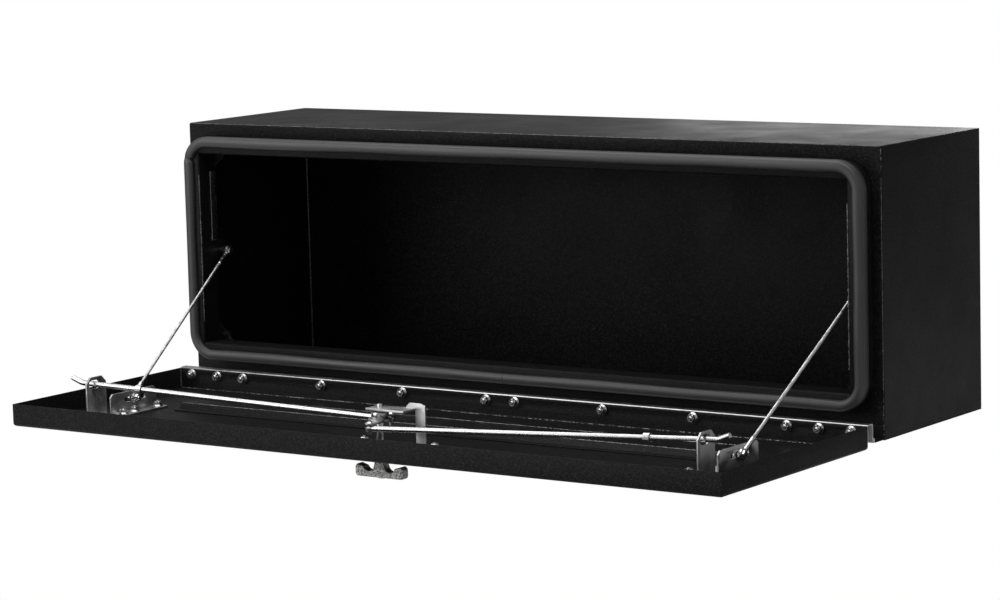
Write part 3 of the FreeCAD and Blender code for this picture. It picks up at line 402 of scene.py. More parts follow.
# Mesh helpers
def add_piece(name, mesh, body, slot):
    """New piece with its place in its mesh, in the finish of a slot, riding on a body."""
    piece = bpy.data.objects.new(name, mesh)
    bpy.context.scene.collection.objects.link(piece)
    if not mesh.materials:
        mesh.materials.append(MATERIALS[slot])
    if body is not None:
        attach(piece, body)
    return piece


def mesh_from(name, vertices, faces, smooth=True):
    """Closed mesh with its faces outwards."""
    shape = bmesh.new()
    made = [shape.verts.new(place) for place in vertices]
    for face in faces:
        shape.faces.new([made[index] for index in face])
    bmesh.ops.remove_doubles(shape, verts=shape.verts, dist=1e-6)
    bmesh.ops.recalc_face_normals(shape, faces=shape.faces)
    mesh = bpy.data.meshes.new(name)
    shape.to_mesh(mesh)
    shape.free()
    if smooth:
        mesh.shade_smooth()
        mesh.set_sharp_from_angle(angle=math.radians(38))
    return mesh


def rings_to_faces(rings, sides, closed=False):
    """Faces between rings of points, and end caps where the run is open."""
    faces = []
    last = rings if closed else rings - 1
    for ring in range(last):
        for side in range(sides):
            here, there = ring * sides, ((ring + 1) % rings) * sides
            following = (side + 1) % sides
            faces.append((here + side, here + following, there + following, there + side))
    if not closed:
        faces.append(tuple(reversed(range(sides))))
        faces.append(tuple(range((rings - 1) * sides, rings * sides)))
    return faces


def turned(name, profile, sides=24):
    """Mesh turned about the Z axis from (radius, height) points. A profile that closes makes a ring."""
    points = []
    for radius, height in profile:
        for side in range(sides):
            angle = math.tau * side / sides
            points.append(Vector((radius * math.cos(angle), radius * math.sin(angle), height)))
    closed = profile[0] == profile[-1]
    rings = len(profile) - 1 if closed else len(profile)
    return mesh_from(name, points[:rings * sides], rings_to_faces(rings, sides, closed))


def tube_rings(path, radius, sides, twist=None):
    """Points of a round tube along a path, without any twist of its own."""
    rings = []
    across = None
    for index, place in enumerate(path):
        ahead = path[min(index + 1, len(path) - 1)] - path[max(index - 1, 0)]
        ahead.normalize()
        if across is None:
            across = ahead.orthogonal().normalized()
        across = (across - ahead * across.dot(ahead)).normalized()
        other = ahead.cross(across)
        size = radius(index) if callable(radius) else radius
        for side in range(sides):
            angle = math.tau * side / sides
            rings.append(place + (across * math.cos(angle) + other * math.sin(angle)) * size)
    return rings


def tube(name, path, radius, sides=16):
    return mesh_from(name, tube_rings(path, radius, sides), rings_to_faces(len(path), sides))


def joined(name, meshes):
    """Several meshes made one."""
    shape = bmesh.new()
    for mesh in meshes:
        shape.from_mesh(mesh)
    mesh = bpy.data.meshes.new(name)
    shape.to_mesh(mesh)
    shape.free()
    mesh.shade_smooth()
    mesh.set_sharp_from_angle(angle=math.radians(38))
    return mesh


def placed(mesh, place, axis):
    """Copy of a mesh whose Z axis points along the axis, at the place."""
    copy = mesh.copy()
    copy.transform(Matrix.Translation(place) @ UP.rotation_difference(axis).to_matrix().to_4x4())
    return copy


def merged_copy(name):
    """The mesh of a node with its loose triangles joined."""
    shape = bmesh.new()
    shape.from_mesh(frame["nodes"][name].data)
    bmesh.ops.remove_doubles(shape, verts=shape.verts, dist=1e-6)
    return shape


def solids_of(name):
    """Lowest and highest corners of each separate solid in a node."""
    shape = merged_copy(name)
    shape.verts.ensure_lookup_table()
    seen = set()
    found = []
    for first in shape.verts:
        if first.index in seen:
            continue
        seen.add(first.index)
        island, waiting = [], [first]
        while waiting:
            vertex = waiting.pop()
            island.append(vertex.co.copy())
            for edge in vertex.link_edges:
                other = edge.other_vert(vertex)
                if other.index not in seen:
                    seen.add(other.index)
                    waiting.append(other)
        low = Vector([min(place[axis] for place in island) for axis in range(3)])
        high = Vector([max(place[axis] for place in island) for axis in range(3)])
        found.append((low, high))
    shape.free()
    return found


# Door cables
def route_points(side):
    """Line that a cable follows, read from a smooth spline with the route's points."""
    top, fold, bottom = (Vector((side * place.x, place.y, place.z)) for place in (CABLE_TOP, CABLE_FOLD, CABLE_BOTTOM))
    ferrule = FERRULE_START + FERRULE_LENGTH
    start = top + (fold - top).normalized() * ferrule
    end = bottom + (fold - bottom).normalized() * ferrule
    curve = bpy.data.curves.new("cable_route", "CURVE")
    curve.dimensions = "3D"
    spline = curve.splines.new("NURBS")
    spline.points.add(2)
    for point, place in zip(spline.points, (start, fold, end)):
        point.co = (*place, 1.0)
    spline.order_u = 3
    spline.use_endpoint_u = True
    spline.resolution_u = 60
    holder = bpy.data.objects.new("cable_route", curve)
    line = bpy.data.meshes.new_from_object(holder)
    points = [vertex.co.copy() for vertex in line.vertices]
    bpy.data.objects.remove(holder)
    return points


def strand_path(line, phase):
    """Helix of one strand about the cable's line."""
    ahead = (line[-1] - line[0]).normalized()
    across = ahead.orthogonal().normalized()
    other = ahead.cross(across)
    reach = CABLE_RADIUS * (1.0 - STRAND_SHARE)
    path = []
    run = 0.0
    for index, place in enumerate(line):
        if index:
            run += (place - line[index - 1]).length
        angle = math.tau * run / STRAND_PITCH + phase
        path.append(place + (across * math.cos(angle) + other * math.sin(angle)) * reach)
    return path


def stranded_cable(name, line):
    """Thin strands laid round a thick core."""
    strands = [tube(name, line, CABLE_RADIUS * (1.0 - STRAND_SHARE), 12)]
    for strand in range(STRANDS):
        path = strand_path(line, math.tau * strand / STRANDS)
        strands.append(tube(name, path, CABLE_RADIUS * STRAND_SHARE, 8))
    return joined(name, strands)


def crimped_ferrule():
    """Swaged sleeve: two shallow pressed bands, a rolled mouth and a tapered foot."""
    length = FERRULE_LENGTH
    radius = FERRULE_RADIUS
    profile = [(0.0, 0.0), (radius * 0.72, 0.0), (radius * 0.98, 0.0012)]
    for band in range(2):
        start = 0.0052 + band * 0.0092
        profile.extend([(radius, start), (radius * 0.95, start + 0.0010),
                        (radius * 0.95, start + 0.0048), (radius, start + 0.0058)])
    profile.extend([(radius, length - 0.0012), (radius * 0.85, length - 0.0002), (radius * 0.7, length),
                    (0.0, length)])
    return turned("ferrule", profile, 24)


def eye_ring():
    """Forged eye with rounded edges and a bore for the bolt."""
    half = EYE_THICKNESS / 2
    edge = 0.0011
    profile = [(EYE_BORE, -half + edge / 2), (EYE_BORE + edge / 2, -half), (EYE_RADIUS - edge, -half),
               (EYE_RADIUS - edge * 0.3, -half + edge * 0.3), (EYE_RADIUS, -half + edge),
               (EYE_RADIUS, half - edge), (EYE_RADIUS - edge * 0.3, half - edge * 0.3),
               (EYE_RADIUS - edge, half), (EYE_BORE + edge / 2, half), (EYE_BORE, half - edge / 2)]
    return turned("eye", profile + profile[:1], 32)


def cable_terminal(name, eye, towards):
    direction = (towards - eye).normalized()
    return joined(name, [placed(eye_ring(), eye, RIGHTWARD),
                         placed(crimped_ferrule(), eye + direction * FERRULE_START, direction)])


def add_door_cable(side, label):
    line = route_points(side)
    cable = add_piece(label + "_door_cable", stranded_cable(label + "_door_cable", line), None, "wire")
    upper, lower = label + "_cable_upper", label + "_cable_lower"
    fold = Vector((side * CABLE_FOLD.x, CABLE_FOLD.y, CABLE_FOLD.z))
    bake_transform(cable)
    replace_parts(cable, label + "_cable_upper_run", label + "_cable_lower_run")
    top, bottom = (Vector((side * place.x, place.y, place.z)) for place in (CABLE_TOP, CABLE_BOTTOM))
    for name, eye, body, replaced in ((label + "_upper_fitting", top, upper, label + "_upper_terminal"),
                                      (label + "_lower_fitting", bottom, label + "_cable_foot",
                                       label + "_lower_terminal")):
        fitting = add_piece(name, cable_terminal(name, eye, fold), body, "zinc")
        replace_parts(fitting, replaced)


for cable_side, cable_label in ((1, "right"), (-1, "left")):
    add_door_cable(cable_side, cable_label)


# Door seal
SEAL_STEP = 0.02
SEAL_WAVE = 0.07
SEAL_CREASE = 0.26
SEAL_CREASE_ANGLE = 166.0
SEAL_CREASE_SPREAD = 5.0


def seal_profile(clip_depth, bulb_height, bulb_width, lip):
    """Outline across the seal: inset from its outer edge, and reach in front of the frame's face."""
    outline = [(0.0006, -clip_depth), (0.0, -clip_depth + 0.0008), (0.0, -0.0012), (0.0007, -0.0005),
               (0.0007, 0.0002), (0.0001, 0.0010)]
    middle = bulb_width / 2
    for step in range(1, 16):
        angle = math.pi * step / 16
        outline.append((middle - middle * math.cos(angle) * 0.995, bulb_height * math.sin(angle) ** 0.62))
    outline.extend([(bulb_width, 0.0008), (bulb_width - 0.0004, 0.0), (lip, 0.0), (lip, -clip_depth + 0.0006),
                    (lip - 0.0006, -clip_depth)])
    return outline


def seal_swell(x, z, angle):
    """Share of its full size that the bulb has at a place, with the crease at the upper left corner."""
    crease = SEAL_CREASE * math.exp(-((angle - SEAL_CREASE_ANGLE) / SEAL_CREASE_SPREAD) ** 2)
    return 1.0 - crease - SEAL_WAVE * (0.5 + 0.5 * math.sin(21.0 * x + 34.0 * z))


def straight_run(start, end, angle):
    """Places along a straight stretch of the seal, without its ends."""
    count = max(2, int(math.dist(start, end) / SEAL_STEP))
    return [(start[0] + (end[0] - start[0]) * index / count, start[1] + (end[1] - start[1]) * index / count, angle)
            for index in range(1, count)]


def rounded_path(low, high, radius, start_x, gap, arc_steps=24):
    """Rounded rectangle seen from the front, as places with outward directions, open at one joint."""
    corners = [(high.x - radius, low.z + radius, -90), (high.x - radius, high.z - radius, 0),
               (low.x + radius, high.z - radius, 90), (low.x + radius, low.z + radius, 180)]
    path = [(start_x + gap, low.z, -90.0)]
    for x, z, first in corners:
        arc = []
        for step in range(arc_steps + 1):
            angle = first + 90.0 * step / arc_steps
            arc.append((x + radius * math.cos(math.radians(angle)), z + radius * math.sin(math.radians(angle)), angle))
        path += straight_run(path[-1][:2], arc[0][:2], first) + arc
    end = (start_x, low.z, 270.0)
    return path + straight_run(path[-1][:2], end[:2], 270.0) + [end]


def add_seal():
    """Bulb seal laid round the frame from one length, with its butt joint at the sill."""
    low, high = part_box("door_seal")
    bulb_height, bulb_width, clip_thickness, corner_radius = 0.0079, 0.017, 0.0027, 0.043
    face = low.y + bulb_height
    profile = seal_profile(high.y - face, bulb_height, bulb_width, clip_thickness)
    path = rounded_path(low, high, corner_radius, -0.004, 0.0005)
    points = []
    for x, z, angle in path:
        outward = Vector((math.cos(math.radians(angle)), 0, math.sin(math.radians(angle))))
        swell = seal_swell(x, z, angle)
        for inset, reach in profile:
            points.append(Vector((x, face - reach * (swell if reach > 0 else 1.0), z)) - outward * inset * swell)
    mesh = mesh_from("bulb_seal", points, rings_to_faces(len(path), len(profile)))
    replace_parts(add_piece("bulb_seal", mesh, "box", "rubber"), "door_seal")


add_seal()


# Fasteners
def repeat_tree():
    """Geometry nodes that set one shape on every point, turned and sized by the point."""
    tree = bpy.data.node_groups.new("set_out", "GeometryNodeTree")
    tree.interface.new_socket("Geometry", in_out="INPUT", socket_type="NodeSocketGeometry")
    tree.interface.new_socket("Shape", in_out="INPUT", socket_type="NodeSocketObject")
    tree.interface.new_socket("Play", in_out="INPUT", socket_type="NodeSocketFloat")
    tree.interface.new_socket("Finish", in_out="INPUT", socket_type="NodeSocketMaterial")
    tree.interface.new_socket("Geometry", in_out="OUTPUT", socket_type="NodeSocketGeometry")
    inputs, outputs = tree.nodes.new("NodeGroupInput"), tree.nodes.new("NodeGroupOutput")
    shape = node(tree, "GeometryNodeObjectInfo")
    tree.links.new(inputs.outputs["Shape"], shape.inputs["Object"])
    turn = node(tree, "GeometryNodeInputNamedAttribute", data_type="FLOAT_VECTOR")
    turn.inputs["Name"].default_value = "turn"
    to_rotation = node(tree, "FunctionNodeEulerToRotation")
    tree.links.new([s for s in turn.outputs if s.enabled and s.name == "Attribute"][0], to_rotation.inputs["Euler"])
    size = node(tree, "GeometryNodeInputNamedAttribute", data_type="FLOAT_VECTOR")
    size.inputs["Name"].default_value = "size"
    spin = node(tree, "FunctionNodeRandomValue", data_type="FLOAT")
    spin.inputs["Seed"].default_value = 7
    axis = node(tree, "FunctionNodeAxisAngleToRotation")
    axis.inputs["Axis"].default_value = (0, 0, 1)
    scaled = node(tree, "ShaderNodeMath", operation="MULTIPLY")
    tree.links.new([s for s in spin.outputs if s.enabled][0], scaled.inputs[0])
    tree.links.new(inputs.outputs["Play"], scaled.inputs[1])
    tree.links.new(scaled.outputs["Value"], axis.inputs["Angle"])
    spun = node(tree, "FunctionNodeRotateRotation", rotation_space="LOCAL")
    tree.links.new(to_rotation.outputs["Rotation"], spun.inputs["Rotation"])
    tree.links.new(axis.outputs["Rotation"], spun.inputs["Rotate By"])
    copies = node(tree, "GeometryNodeInstanceOnPoints")
    tree.links.new(inputs.outputs["Geometry"], copies.inputs["Points"])
    tree.links.new(shape.outputs["Geometry"], copies.inputs["Instance"])
    tree.links.new(spun.outputs["Rotation"], copies.inputs["Rotation"])
    tree.links.new([s for s in size.outputs if s.enabled and s.name == "Attribute"][0], copies.inputs["Scale"])
    real = node(tree, "GeometryNodeRealizeInstances")
    tree.links.new(copies.outputs["Instances"], real.inputs["Geometry"])
    finish = node(tree, "GeometryNodeSetMaterial")
    tree.links.new(real.outputs["Geometry"], finish.inputs["Geometry"])
    tree.links.new(inputs.outputs["Finish"], finish.inputs["Material"])
    tree.links.new(finish.outputs["Geometry"], outputs.inputs["Geometry"])
    return tree


SET_OUT = repeat_tree()


def set_out(name, shape_mesh, seats, slot, play=0.0):
    """One mesh with the shape at each seat: a place, the axis it stands along, and its size."""
    points = bpy.data.meshes.new(name)
    points.from_pydata([tuple(place) for place, axis, size in seats], [], [])
    turn = points.attributes.new("turn", "FLOAT_VECTOR", "POINT")
    sizes = points.attributes.new("size", "FLOAT_VECTOR", "POINT")
    for index, (place, axis, size) in enumerate(seats):
        turn.data[index].vector = UP.rotation_difference(axis).to_euler()
        sizes.data[index].vector = (1.0, 1.0, size)
    holder = bpy.data.objects.new(name, points)
    shape = bpy.data.objects.new(name + "_shape", shape_mesh)
    for made in (holder, shape):
        bpy.context.scene.collection.objects.link(made)
    modifier = holder.modifiers.new("set_out", "NODES")
    modifier.node_group = SET_OUT
    values = {"Shape": shape, "Play": play, "Finish": MATERIALS[slot]}
    for socket in SET_OUT.interface.items_tree:
        if socket.in_out == "INPUT" and socket.name in values:
            modifier[socket.identifier] = values[socket.name]
    bpy.context.view_layer.update()
    mesh = bpy.data.meshes.new_from_object(holder.evaluated_get(bpy.context.evaluated_depsgraph_get()))
    mesh.name = name
    bpy.data.objects.remove(holder)
    bpy.data.objects.remove(shape)
    mesh.shade_smooth()
    mesh.set_sharp_from_angle(angle=math.radians(35))
    return mesh


def seats_of(name, axis):
    """Seat of each solid in a node: where it starts along the axis, and how far it reaches."""
    seats = []
    for low, high in solids_of(name):
        middle = (low + high) / 2
        reach = abs((high - low).dot(axis))
        seats.append((middle - axis * reach / 2, axis, reach))
    return seats


def flange_nut(height=0.0074):
    """Hexagon nut with chamfered corners on a round flange, open in the middle."""
    shape = bmesh.new()
    sides = 6
    corner = NUT_WIDTH / 2 / math.cos(math.pi / sides)
    bore = BOLT_RADIUS + 0.0001
    steps = 36
    profile_rows = []
    for radius_of, height_at in (
            (lambda angle: bore, lambda angle: height - 0.0004),
            (lambda angle: bore + 0.0005, lambda angle: height),
            (lambda angle: NUT_WIDTH / 2 * 0.93, lambda angle: height),
            (None, lambda angle: height - 0.0010),
            (None, lambda angle: FLANGE_THICKNESS + 0.0011),
            (lambda angle: FLANGE_RADIUS - 0.0004, lambda angle: FLANGE_THICKNESS * 0.75),
            (lambda angle: FLANGE_RADIUS, lambda angle: FLANGE_THICKNESS * 0.45),
            (lambda angle: FLANGE_RADIUS, lambda angle: 0.0),
            (lambda angle: bore, lambda angle: 0.0)):
        row = []
        for step in range(steps):
            angle = math.tau * step / steps
            within = (angle + math.pi / sides) % (math.tau / sides) - math.pi / sides
            hexagon = NUT_WIDTH / 2 / math.cos(within)
            radius = min(hexagon, corner * 0.985) if radius_of is None else radius_of(angle)
            row.append(shape.verts.new((radius * math.cos(angle), radius * math.sin(angle), height_at(angle))))
        profile_rows.append(row)
    count = len(profile_rows)
    for index in range(count):
        here, there = profile_rows[index], profile_rows[(index + 1) % count]
        for step in range(steps):
            following = (step + 1) % steps
            shape.faces.new((here[step], here[following], there[following], there[step]))
    bmesh.ops.recalc_face_normals(shape, faces=shape.faces)
    mesh = bpy.data.meshes.new("flange_nut")
    shape.to_mesh(mesh)
    shape.free()
    return mesh


def threaded_profile(radius, start, end):
    """Side of a screw thread from its start to its chamfered end."""
    profile = []
    height = start
    while height + THREAD_PITCH < end - 0.0006:
        profile.extend([(radius, height), (radius - THREAD_DEPTH, height + THREAD_PITCH / 2)])
        height += THREAD_PITCH
    profile.extend([(radius, height), (radius * 0.72, end), (0.0, end)])
    return profile


def stud_shape():
    """Stud of unit length seen above its nut: only its thread's last turns stand proud."""
    length = 1.0
    profile = [(0.0, 0.0), (BOLT_RADIUS, 0.0), (BOLT_RADIUS, length * 0.80)]
    for turn in range(3):
        height = length * (0.80 + turn * 0.055)
        profile.extend([(BOLT_RADIUS - THREAD_DEPTH, height + length * 0.027), (BOLT_RADIUS, height + length * 0.055)])
    profile.extend([(BOLT_RADIUS * 0.70, length), (0.0, length)])
    return turned("stud", profile, 20)


def headed_bolt_shape(total):
    """Bolt with a low domed head at its seat and a threaded shank."""
    head = 0.0056
    profile = [(0.0, 0.0), (head * 0.45, 0.0002), (head * 0.8, 0.0009), (head, 0.0020), (head, BOLT_HEAD_HEIGHT),
               (BOLT_RADIUS, BOLT_HEAD_HEIGHT)]
    return turned("bolt", profile + threaded_profile(BOLT_RADIUS, 0.0050, total), 24)


def hexagon_bolt_shape(total, radius, head_radius, head_height):
    """Bolt with a chamfered hexagon head at its foot."""
    shank = turned("shank", [(0.0, head_height), (radius, head_height)]
                   + [(radius, total * 0.6)] + threaded_profile(radius, total * 0.6 + 0.0004, total), 24)
    shape = bmesh.new()
    sides = 36
    rows = []
    for size, height, round_corner in ((0.80, 0.0, True), (1.0, head_height * 0.22, False),
                                       (1.0, head_height, False)):
        row = []
        for step in range(sides):
            angle = math.tau * step / sides
            within = (angle + math.pi / 6) % (math.pi / 3) - math.pi / 6
            flat = head_radius * math.cos(math.pi / 6) / math.cos(within)
            reach = head_radius * size if round_corner else min(flat, head_radius * 0.985)
            row.append(shape.verts.new((reach * math.cos(angle), reach * math.sin(angle), height)))
        rows.append(row)
    for here, there in zip(rows, rows[1:]):
        for step in range(sides):
            following = (step + 1) % sides
            shape.faces.new((here[step], here[following], there[following], there[step]))
    shape.faces.new(rows[0])
    shape.faces.new(rows[-1])
    bmesh.ops.recalc_face_normals(shape, faces=shape.faces)
    head = bpy.data.meshes.new("head")
    shape.to_mesh(head)
    shape.free()
    return joined("hexagon_bolt", [shank, head])


def domed_rivet_shape(radius):
    """Domed rivet head of unit height with a small dimple where the mandrel broke."""
    profile = [(0.0, 0.0), (radius, 0.0), (radius, 0.12)]
    for step in range(1, 7):
        angle = math.pi / 2 * step / 7
        profile.append((radius * math.cos(angle), 0.12 + 0.88 * math.sin(angle)))
    profile.extend([(radius * 0.2, 0.97), (radius * 0.13, 0.72), (0.0, 0.70)])
    return turned("rivet", profile, 20)


def add_set(name, shape, seats, body, slot, replaced, play=0.0):
    piece = add_piece(name, set_out(name, shape, seats, slot, play), body, slot)
    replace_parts(piece, *replaced)
    return piece


def unit(seats):
    """Same seats, for a shape that is already at its real height."""
    return [(place, axis, 1.0) for place, axis, reach in seats]


def add_fasteners():
    add_set("door_floor_nuts", flange_nut(), unit(seats_of("floor_nuts", UP)), "door", "zinc", ["floor_nuts"], 6.0)
    add_set("door_floor_studs", stud_shape(), seats_of("floor_studs", UP), "door", "zinc", ["floor_studs"])
    add_set("hinge_row_nuts", flange_nut(), unit(seats_of("hinge_nuts", FORWARD)), "door", "zinc",
            ["hinge_nuts"], 6.0)
    hinge_bolt_seats = seats_of("hinge_bolts", FORWARD)
    add_set("hinge_row_bolts", headed_bolt_shape(hinge_bolt_seats[0][2]), unit(hinge_bolt_seats), "door", "zinc",
            ["hinge_bolts"])
    gusset_seats = seats_of("gusset_bolts", BACKWARD)
    add_set("gusset_row_bolts", headed_bolt_shape(gusset_seats[0][2]), unit(gusset_seats), "box", "black_coat",
            ["gusset_bolts"], 6.0)
    nut_seats = []
    for low, high in solids_of("box_nuts"):
        middle = (low + high) / 2
        if high.y - low.y < 0.0080:
            axis = BACKWARD
        else:
            axis = RIGHTWARD if middle.x > 0 else LEFTWARD
        reach = abs((high - low).dot(axis))
        nut_seats.append((middle - axis * reach / 2, axis, 1.0))
    add_set("box_row_nuts", flange_nut(), nut_seats, "box", "zinc", ["box_nuts"], 6.0)
    add_set("cable_foot_nuts", flange_nut(), [
        ((low + high) / 2 + (RIGHTWARD if low.x > 0 else LEFTWARD) * (high.x - low.x) / 2,
         LEFTWARD if low.x > 0 else RIGHTWARD, 1.0) for low, high in solids_of("cable_nuts")],
        "door", "zinc", ["cable_nuts"], 6.0)
    for name, body, replaced, inward in (("cable_top_bolts", "box", "anchor_bolts", 1),
                                         ("cable_foot_bolts", "door", "cable_bolts", -1)):
        seats = []
        for low, high in solids_of(replaced):
            axis = RIGHTWARD if (low.x > 0) == (inward > 0) else LEFTWARD
            seats.append(((low + high) / 2 - axis * (high.x - low.x) / 2, axis, 1.0))
            total = high.x - low.x
        add_set(name, hexagon_bolt_shape(total, 0.0032, 0.0062, 0.0034), seats, body, "zinc", [replaced], 6.0)
    add_set("flange_rivet_heads", domed_rivet_shape(0.0026), seats_of("flange_rivets", FORWARD), "box", "black_coat",
            ["flange_rivets"])
    add_set("leaf_rivet_heads", domed_rivet_shape(0.0026), seats_of("leaf_rivets", FORWARD), "box", "black_coat",
            ["leaf_rivets"])


add_fasteners()


# Latch rods
def rod_path():
    """Centre of the right rod on its latched line, with a rounded bend."""
    start = Vector((CAM_RADIUS + 0.0055, LATCH_Y, ROD_EYE_HEIGHT + 0.0002))
    into = (ROD_BEND - start).normalized()
    out = (ROD_TIP - ROD_BEND).normalized()
    reach = 0.0035
    path = [start, start.lerp(ROD_BEND, 0.5)]
    for step in range(9):
        share = step / 8
        first = ROD_BEND - into * reach * (1 - share)
        second = ROD_BEND + out * reach * share
        path.append(first.lerp(second, share))
    path.extend([ROD_TIP - out * 0.0007, ROD_TIP])
    return path


def rod_to_rest():
    """Turn and shift of the right rod from its latched line to the line that it has at rest."""
    low, high = max(solids_of("cam_pins"), key=lambda solid: solid[0].x)
    pin = Vector(((low.x + high.x) / 2, (low.y + high.y) / 2, 0.0))
    turn = math.atan2(LATCH_Y - pin.y, GUIDE_REACH - pin.x)
    latched_pin = Vector((CAM_RADIUS, LATCH_Y, 0.0))
    return Matrix.Translation(pin) @ Matrix.Rotation(turn, 4, "Z") @ Matrix.Translation(-latched_pin)


def rod_mesh():
    path = rod_path()
    last = len(path) - 1
    run = tube("rod", path, lambda index: ROD_RADIUS * (0.82 if index == last else 1.0), 24)
    half = ROD_EYE_THICKNESS / 2
    edge = 0.0008
    profile = [(PIN_BORE, -half), (ROD_EYE_RADIUS - edge, -half), (ROD_EYE_RADIUS, -half + edge),
               (ROD_EYE_RADIUS, half - edge), (ROD_EYE_RADIUS - edge, half), (PIN_BORE, half), (PIN_BORE, -half)]
    eye = placed(turned("rod_eye", profile, 32), Vector((CAM_RADIUS, LATCH_Y, ROD_EYE_HEIGHT)), UP)
    mesh = joined("latch_rod", [run, eye])
    mesh.transform(rod_to_rest())
    return mesh


def add_rods():
    right = rod_mesh()
    left = right.copy()
    spindle = Vector((0, LATCH_Y, 0))
    left.transform(Matrix.Translation(spindle) @ Matrix.Rotation(math.pi, 4, "Z") @ Matrix.Translation(-spindle))
    for side, mesh in (("right", right), ("left", left)):
        rod = add_piece(side + "_latch_rod", mesh, side + "_rod", "zinc")
        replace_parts(rod, side + "_rod")


add_rods()


# Pieces whose edges are rounded in the render
def softened(name, source, body, slot, radius, segments=2, angle=28.0):
    """A node's shape with its doubles merged and its sharp edges rounded a little."""
    shape = merged_copy(source)
    bmesh.ops.dissolve_limit(shape, angle_limit=math.radians(1.0), verts=shape.verts, edges=shape.edges)
    mesh = bpy.data.meshes.new(name)
    shape.to_mesh(mesh)
    shape.free()
    mesh.shade_smooth()
    holder = bpy.data.objects.new(name, mesh)
    bpy.context.scene.collection.objects.link(holder)
    bevel = holder.modifiers.new("edges", "BEVEL")
    bevel.width = radius
    bevel.segments = segments
    bevel.limit_method = "ANGLE"
    bevel.angle_limit = math.radians(angle)
    bevel.harden_normals = True
    bevel.use_clamp_overlap = True
    bpy.context.view_layer.update()
    rounded = bpy.data.meshes.new_from_object(holder.evaluated_get(bpy.context.evaluated_depsgraph_get()))
    rounded.name = name
    bpy.data.objects.remove(holder)
    rounded.materials.clear()
    piece = add_piece(name, rounded, body, slot)
    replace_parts(piece, source)
    return piece


EDGE_ROUNDS = [
    ("top_sheet", "top_panel", 0.0006), ("bottom_sheet", "bottom_panel", 0.0006),
    ("right_side_sheet", "right_side_panel", 0.0006), ("left_side_sheet", "left_side_panel", 0.0006),
    ("back_sheet", "back_panel", 0.0005),
    ("sill_sheet", "frame_sill", 0.0005), ("head_sheet", "frame_head", 0.0005),
    ("left_jamb_sheet", "frame_left_jamb", 0.0005), ("right_jamb_sheet", "frame_right_jamb", 0.0005),
    ("gusset_plates", "corner_gussets", 0.0004),
    ("right_strike_clip", "right_strike", 0.0004), ("left_strike_clip", "left_strike", 0.0004),
    ("right_anchor_plate", "right_cable_anchor", 0.0006), ("left_anchor_plate", "left_cable_anchor", 0.0006),
    ("door_tray", "door_pan", 0.0007), ("stiffener_channel", "door_stiffener", 0.0006),
    ("door_hinge_leaf", "hinge_door_leaf", 0.0003),
    ("right_guide_angle", "right_rod_guide", 0.0005), ("left_guide_angle", "left_rod_guide", 0.0005),
    ("right_foot_bracket", "right_cable_bracket", 0.0005), ("left_foot_bracket", "left_cable_bracket", 0.0005),
    ("latch_floor_plate", "latch_base_plate", 0.0004), ("latch_bridge_angle", "latch_bridge", 0.0006),
    ("cam_arms", "cam_plate", 0.0005), ("cam_boss", "cam_hub", 0.0008), ("cam_pin_heads", "cam_pins", 0.0004),
    ("spindle_shaft", "spindle", 0.0004), ("spindle_lock_nut", "spindle_nut", 0.0003),
    ("handle_escutcheon", "handle_rose", 0.0006), ("bush_sleeve", "spindle_bush", 0.0004),
    ("key_plug", "lock_plug", 0.0003),
]


SLOT_OF = {part["node"]: part["material_slot"] for part in frame["record"]["subparts"]}
for piece_name, source_name, round_size in EDGE_ROUNDS:
    softened(piece_name, source_name, frame["nodes"][source_name]["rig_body"], SLOT_OF[source_name], round_size)
softened("box_hinge_leaf", "hinge_box_leaf", "box", "black_coat", 0.0003)


# T-grip
GRIP_HALF = 0.0415
GRIP_BOTTOM = -0.0456
GRIP_HORN_TOP = -0.0275
GRIP_SCOOP_PLACE = 0.0182
GRIP_SCOOP_RADIUS = 0.0090
GRIP_HALF_THICKNESS = 0.0070
GRIP_NECK = 0.0078
GRIP_NECK_TOP = -0.0240
GRIP_CORNER = 0.0050


def arc_points(centre_x, centre_z, radius, first, last, steps=8):
    points = []
    for step in range(steps + 1):
        angle = math.radians(first + (last - first) * step / steps)
        points.append((centre_x + radius * math.cos(angle), centre_z + radius * math.sin(angle)))
    return points


def grip_outline():
    """Front outline of the cast grip: two horns, two finger scoops and a flared neck."""
    half = arc_points(GRIP_HALF - GRIP_CORNER, GRIP_BOTTOM + GRIP_CORNER, GRIP_CORNER, -90, 0)
    horn = 0.0062
    half += arc_points(GRIP_HALF - horn, GRIP_HORN_TOP - horn, horn, 0, 75)
    half += arc_points(GRIP_SCOOP_PLACE, GRIP_HORN_TOP, GRIP_SCOOP_RADIUS, -22, -168, 14)
    half.append((GRIP_NECK, GRIP_NECK_TOP))
    return half + [(-x, z) for x, z in reversed(half)]


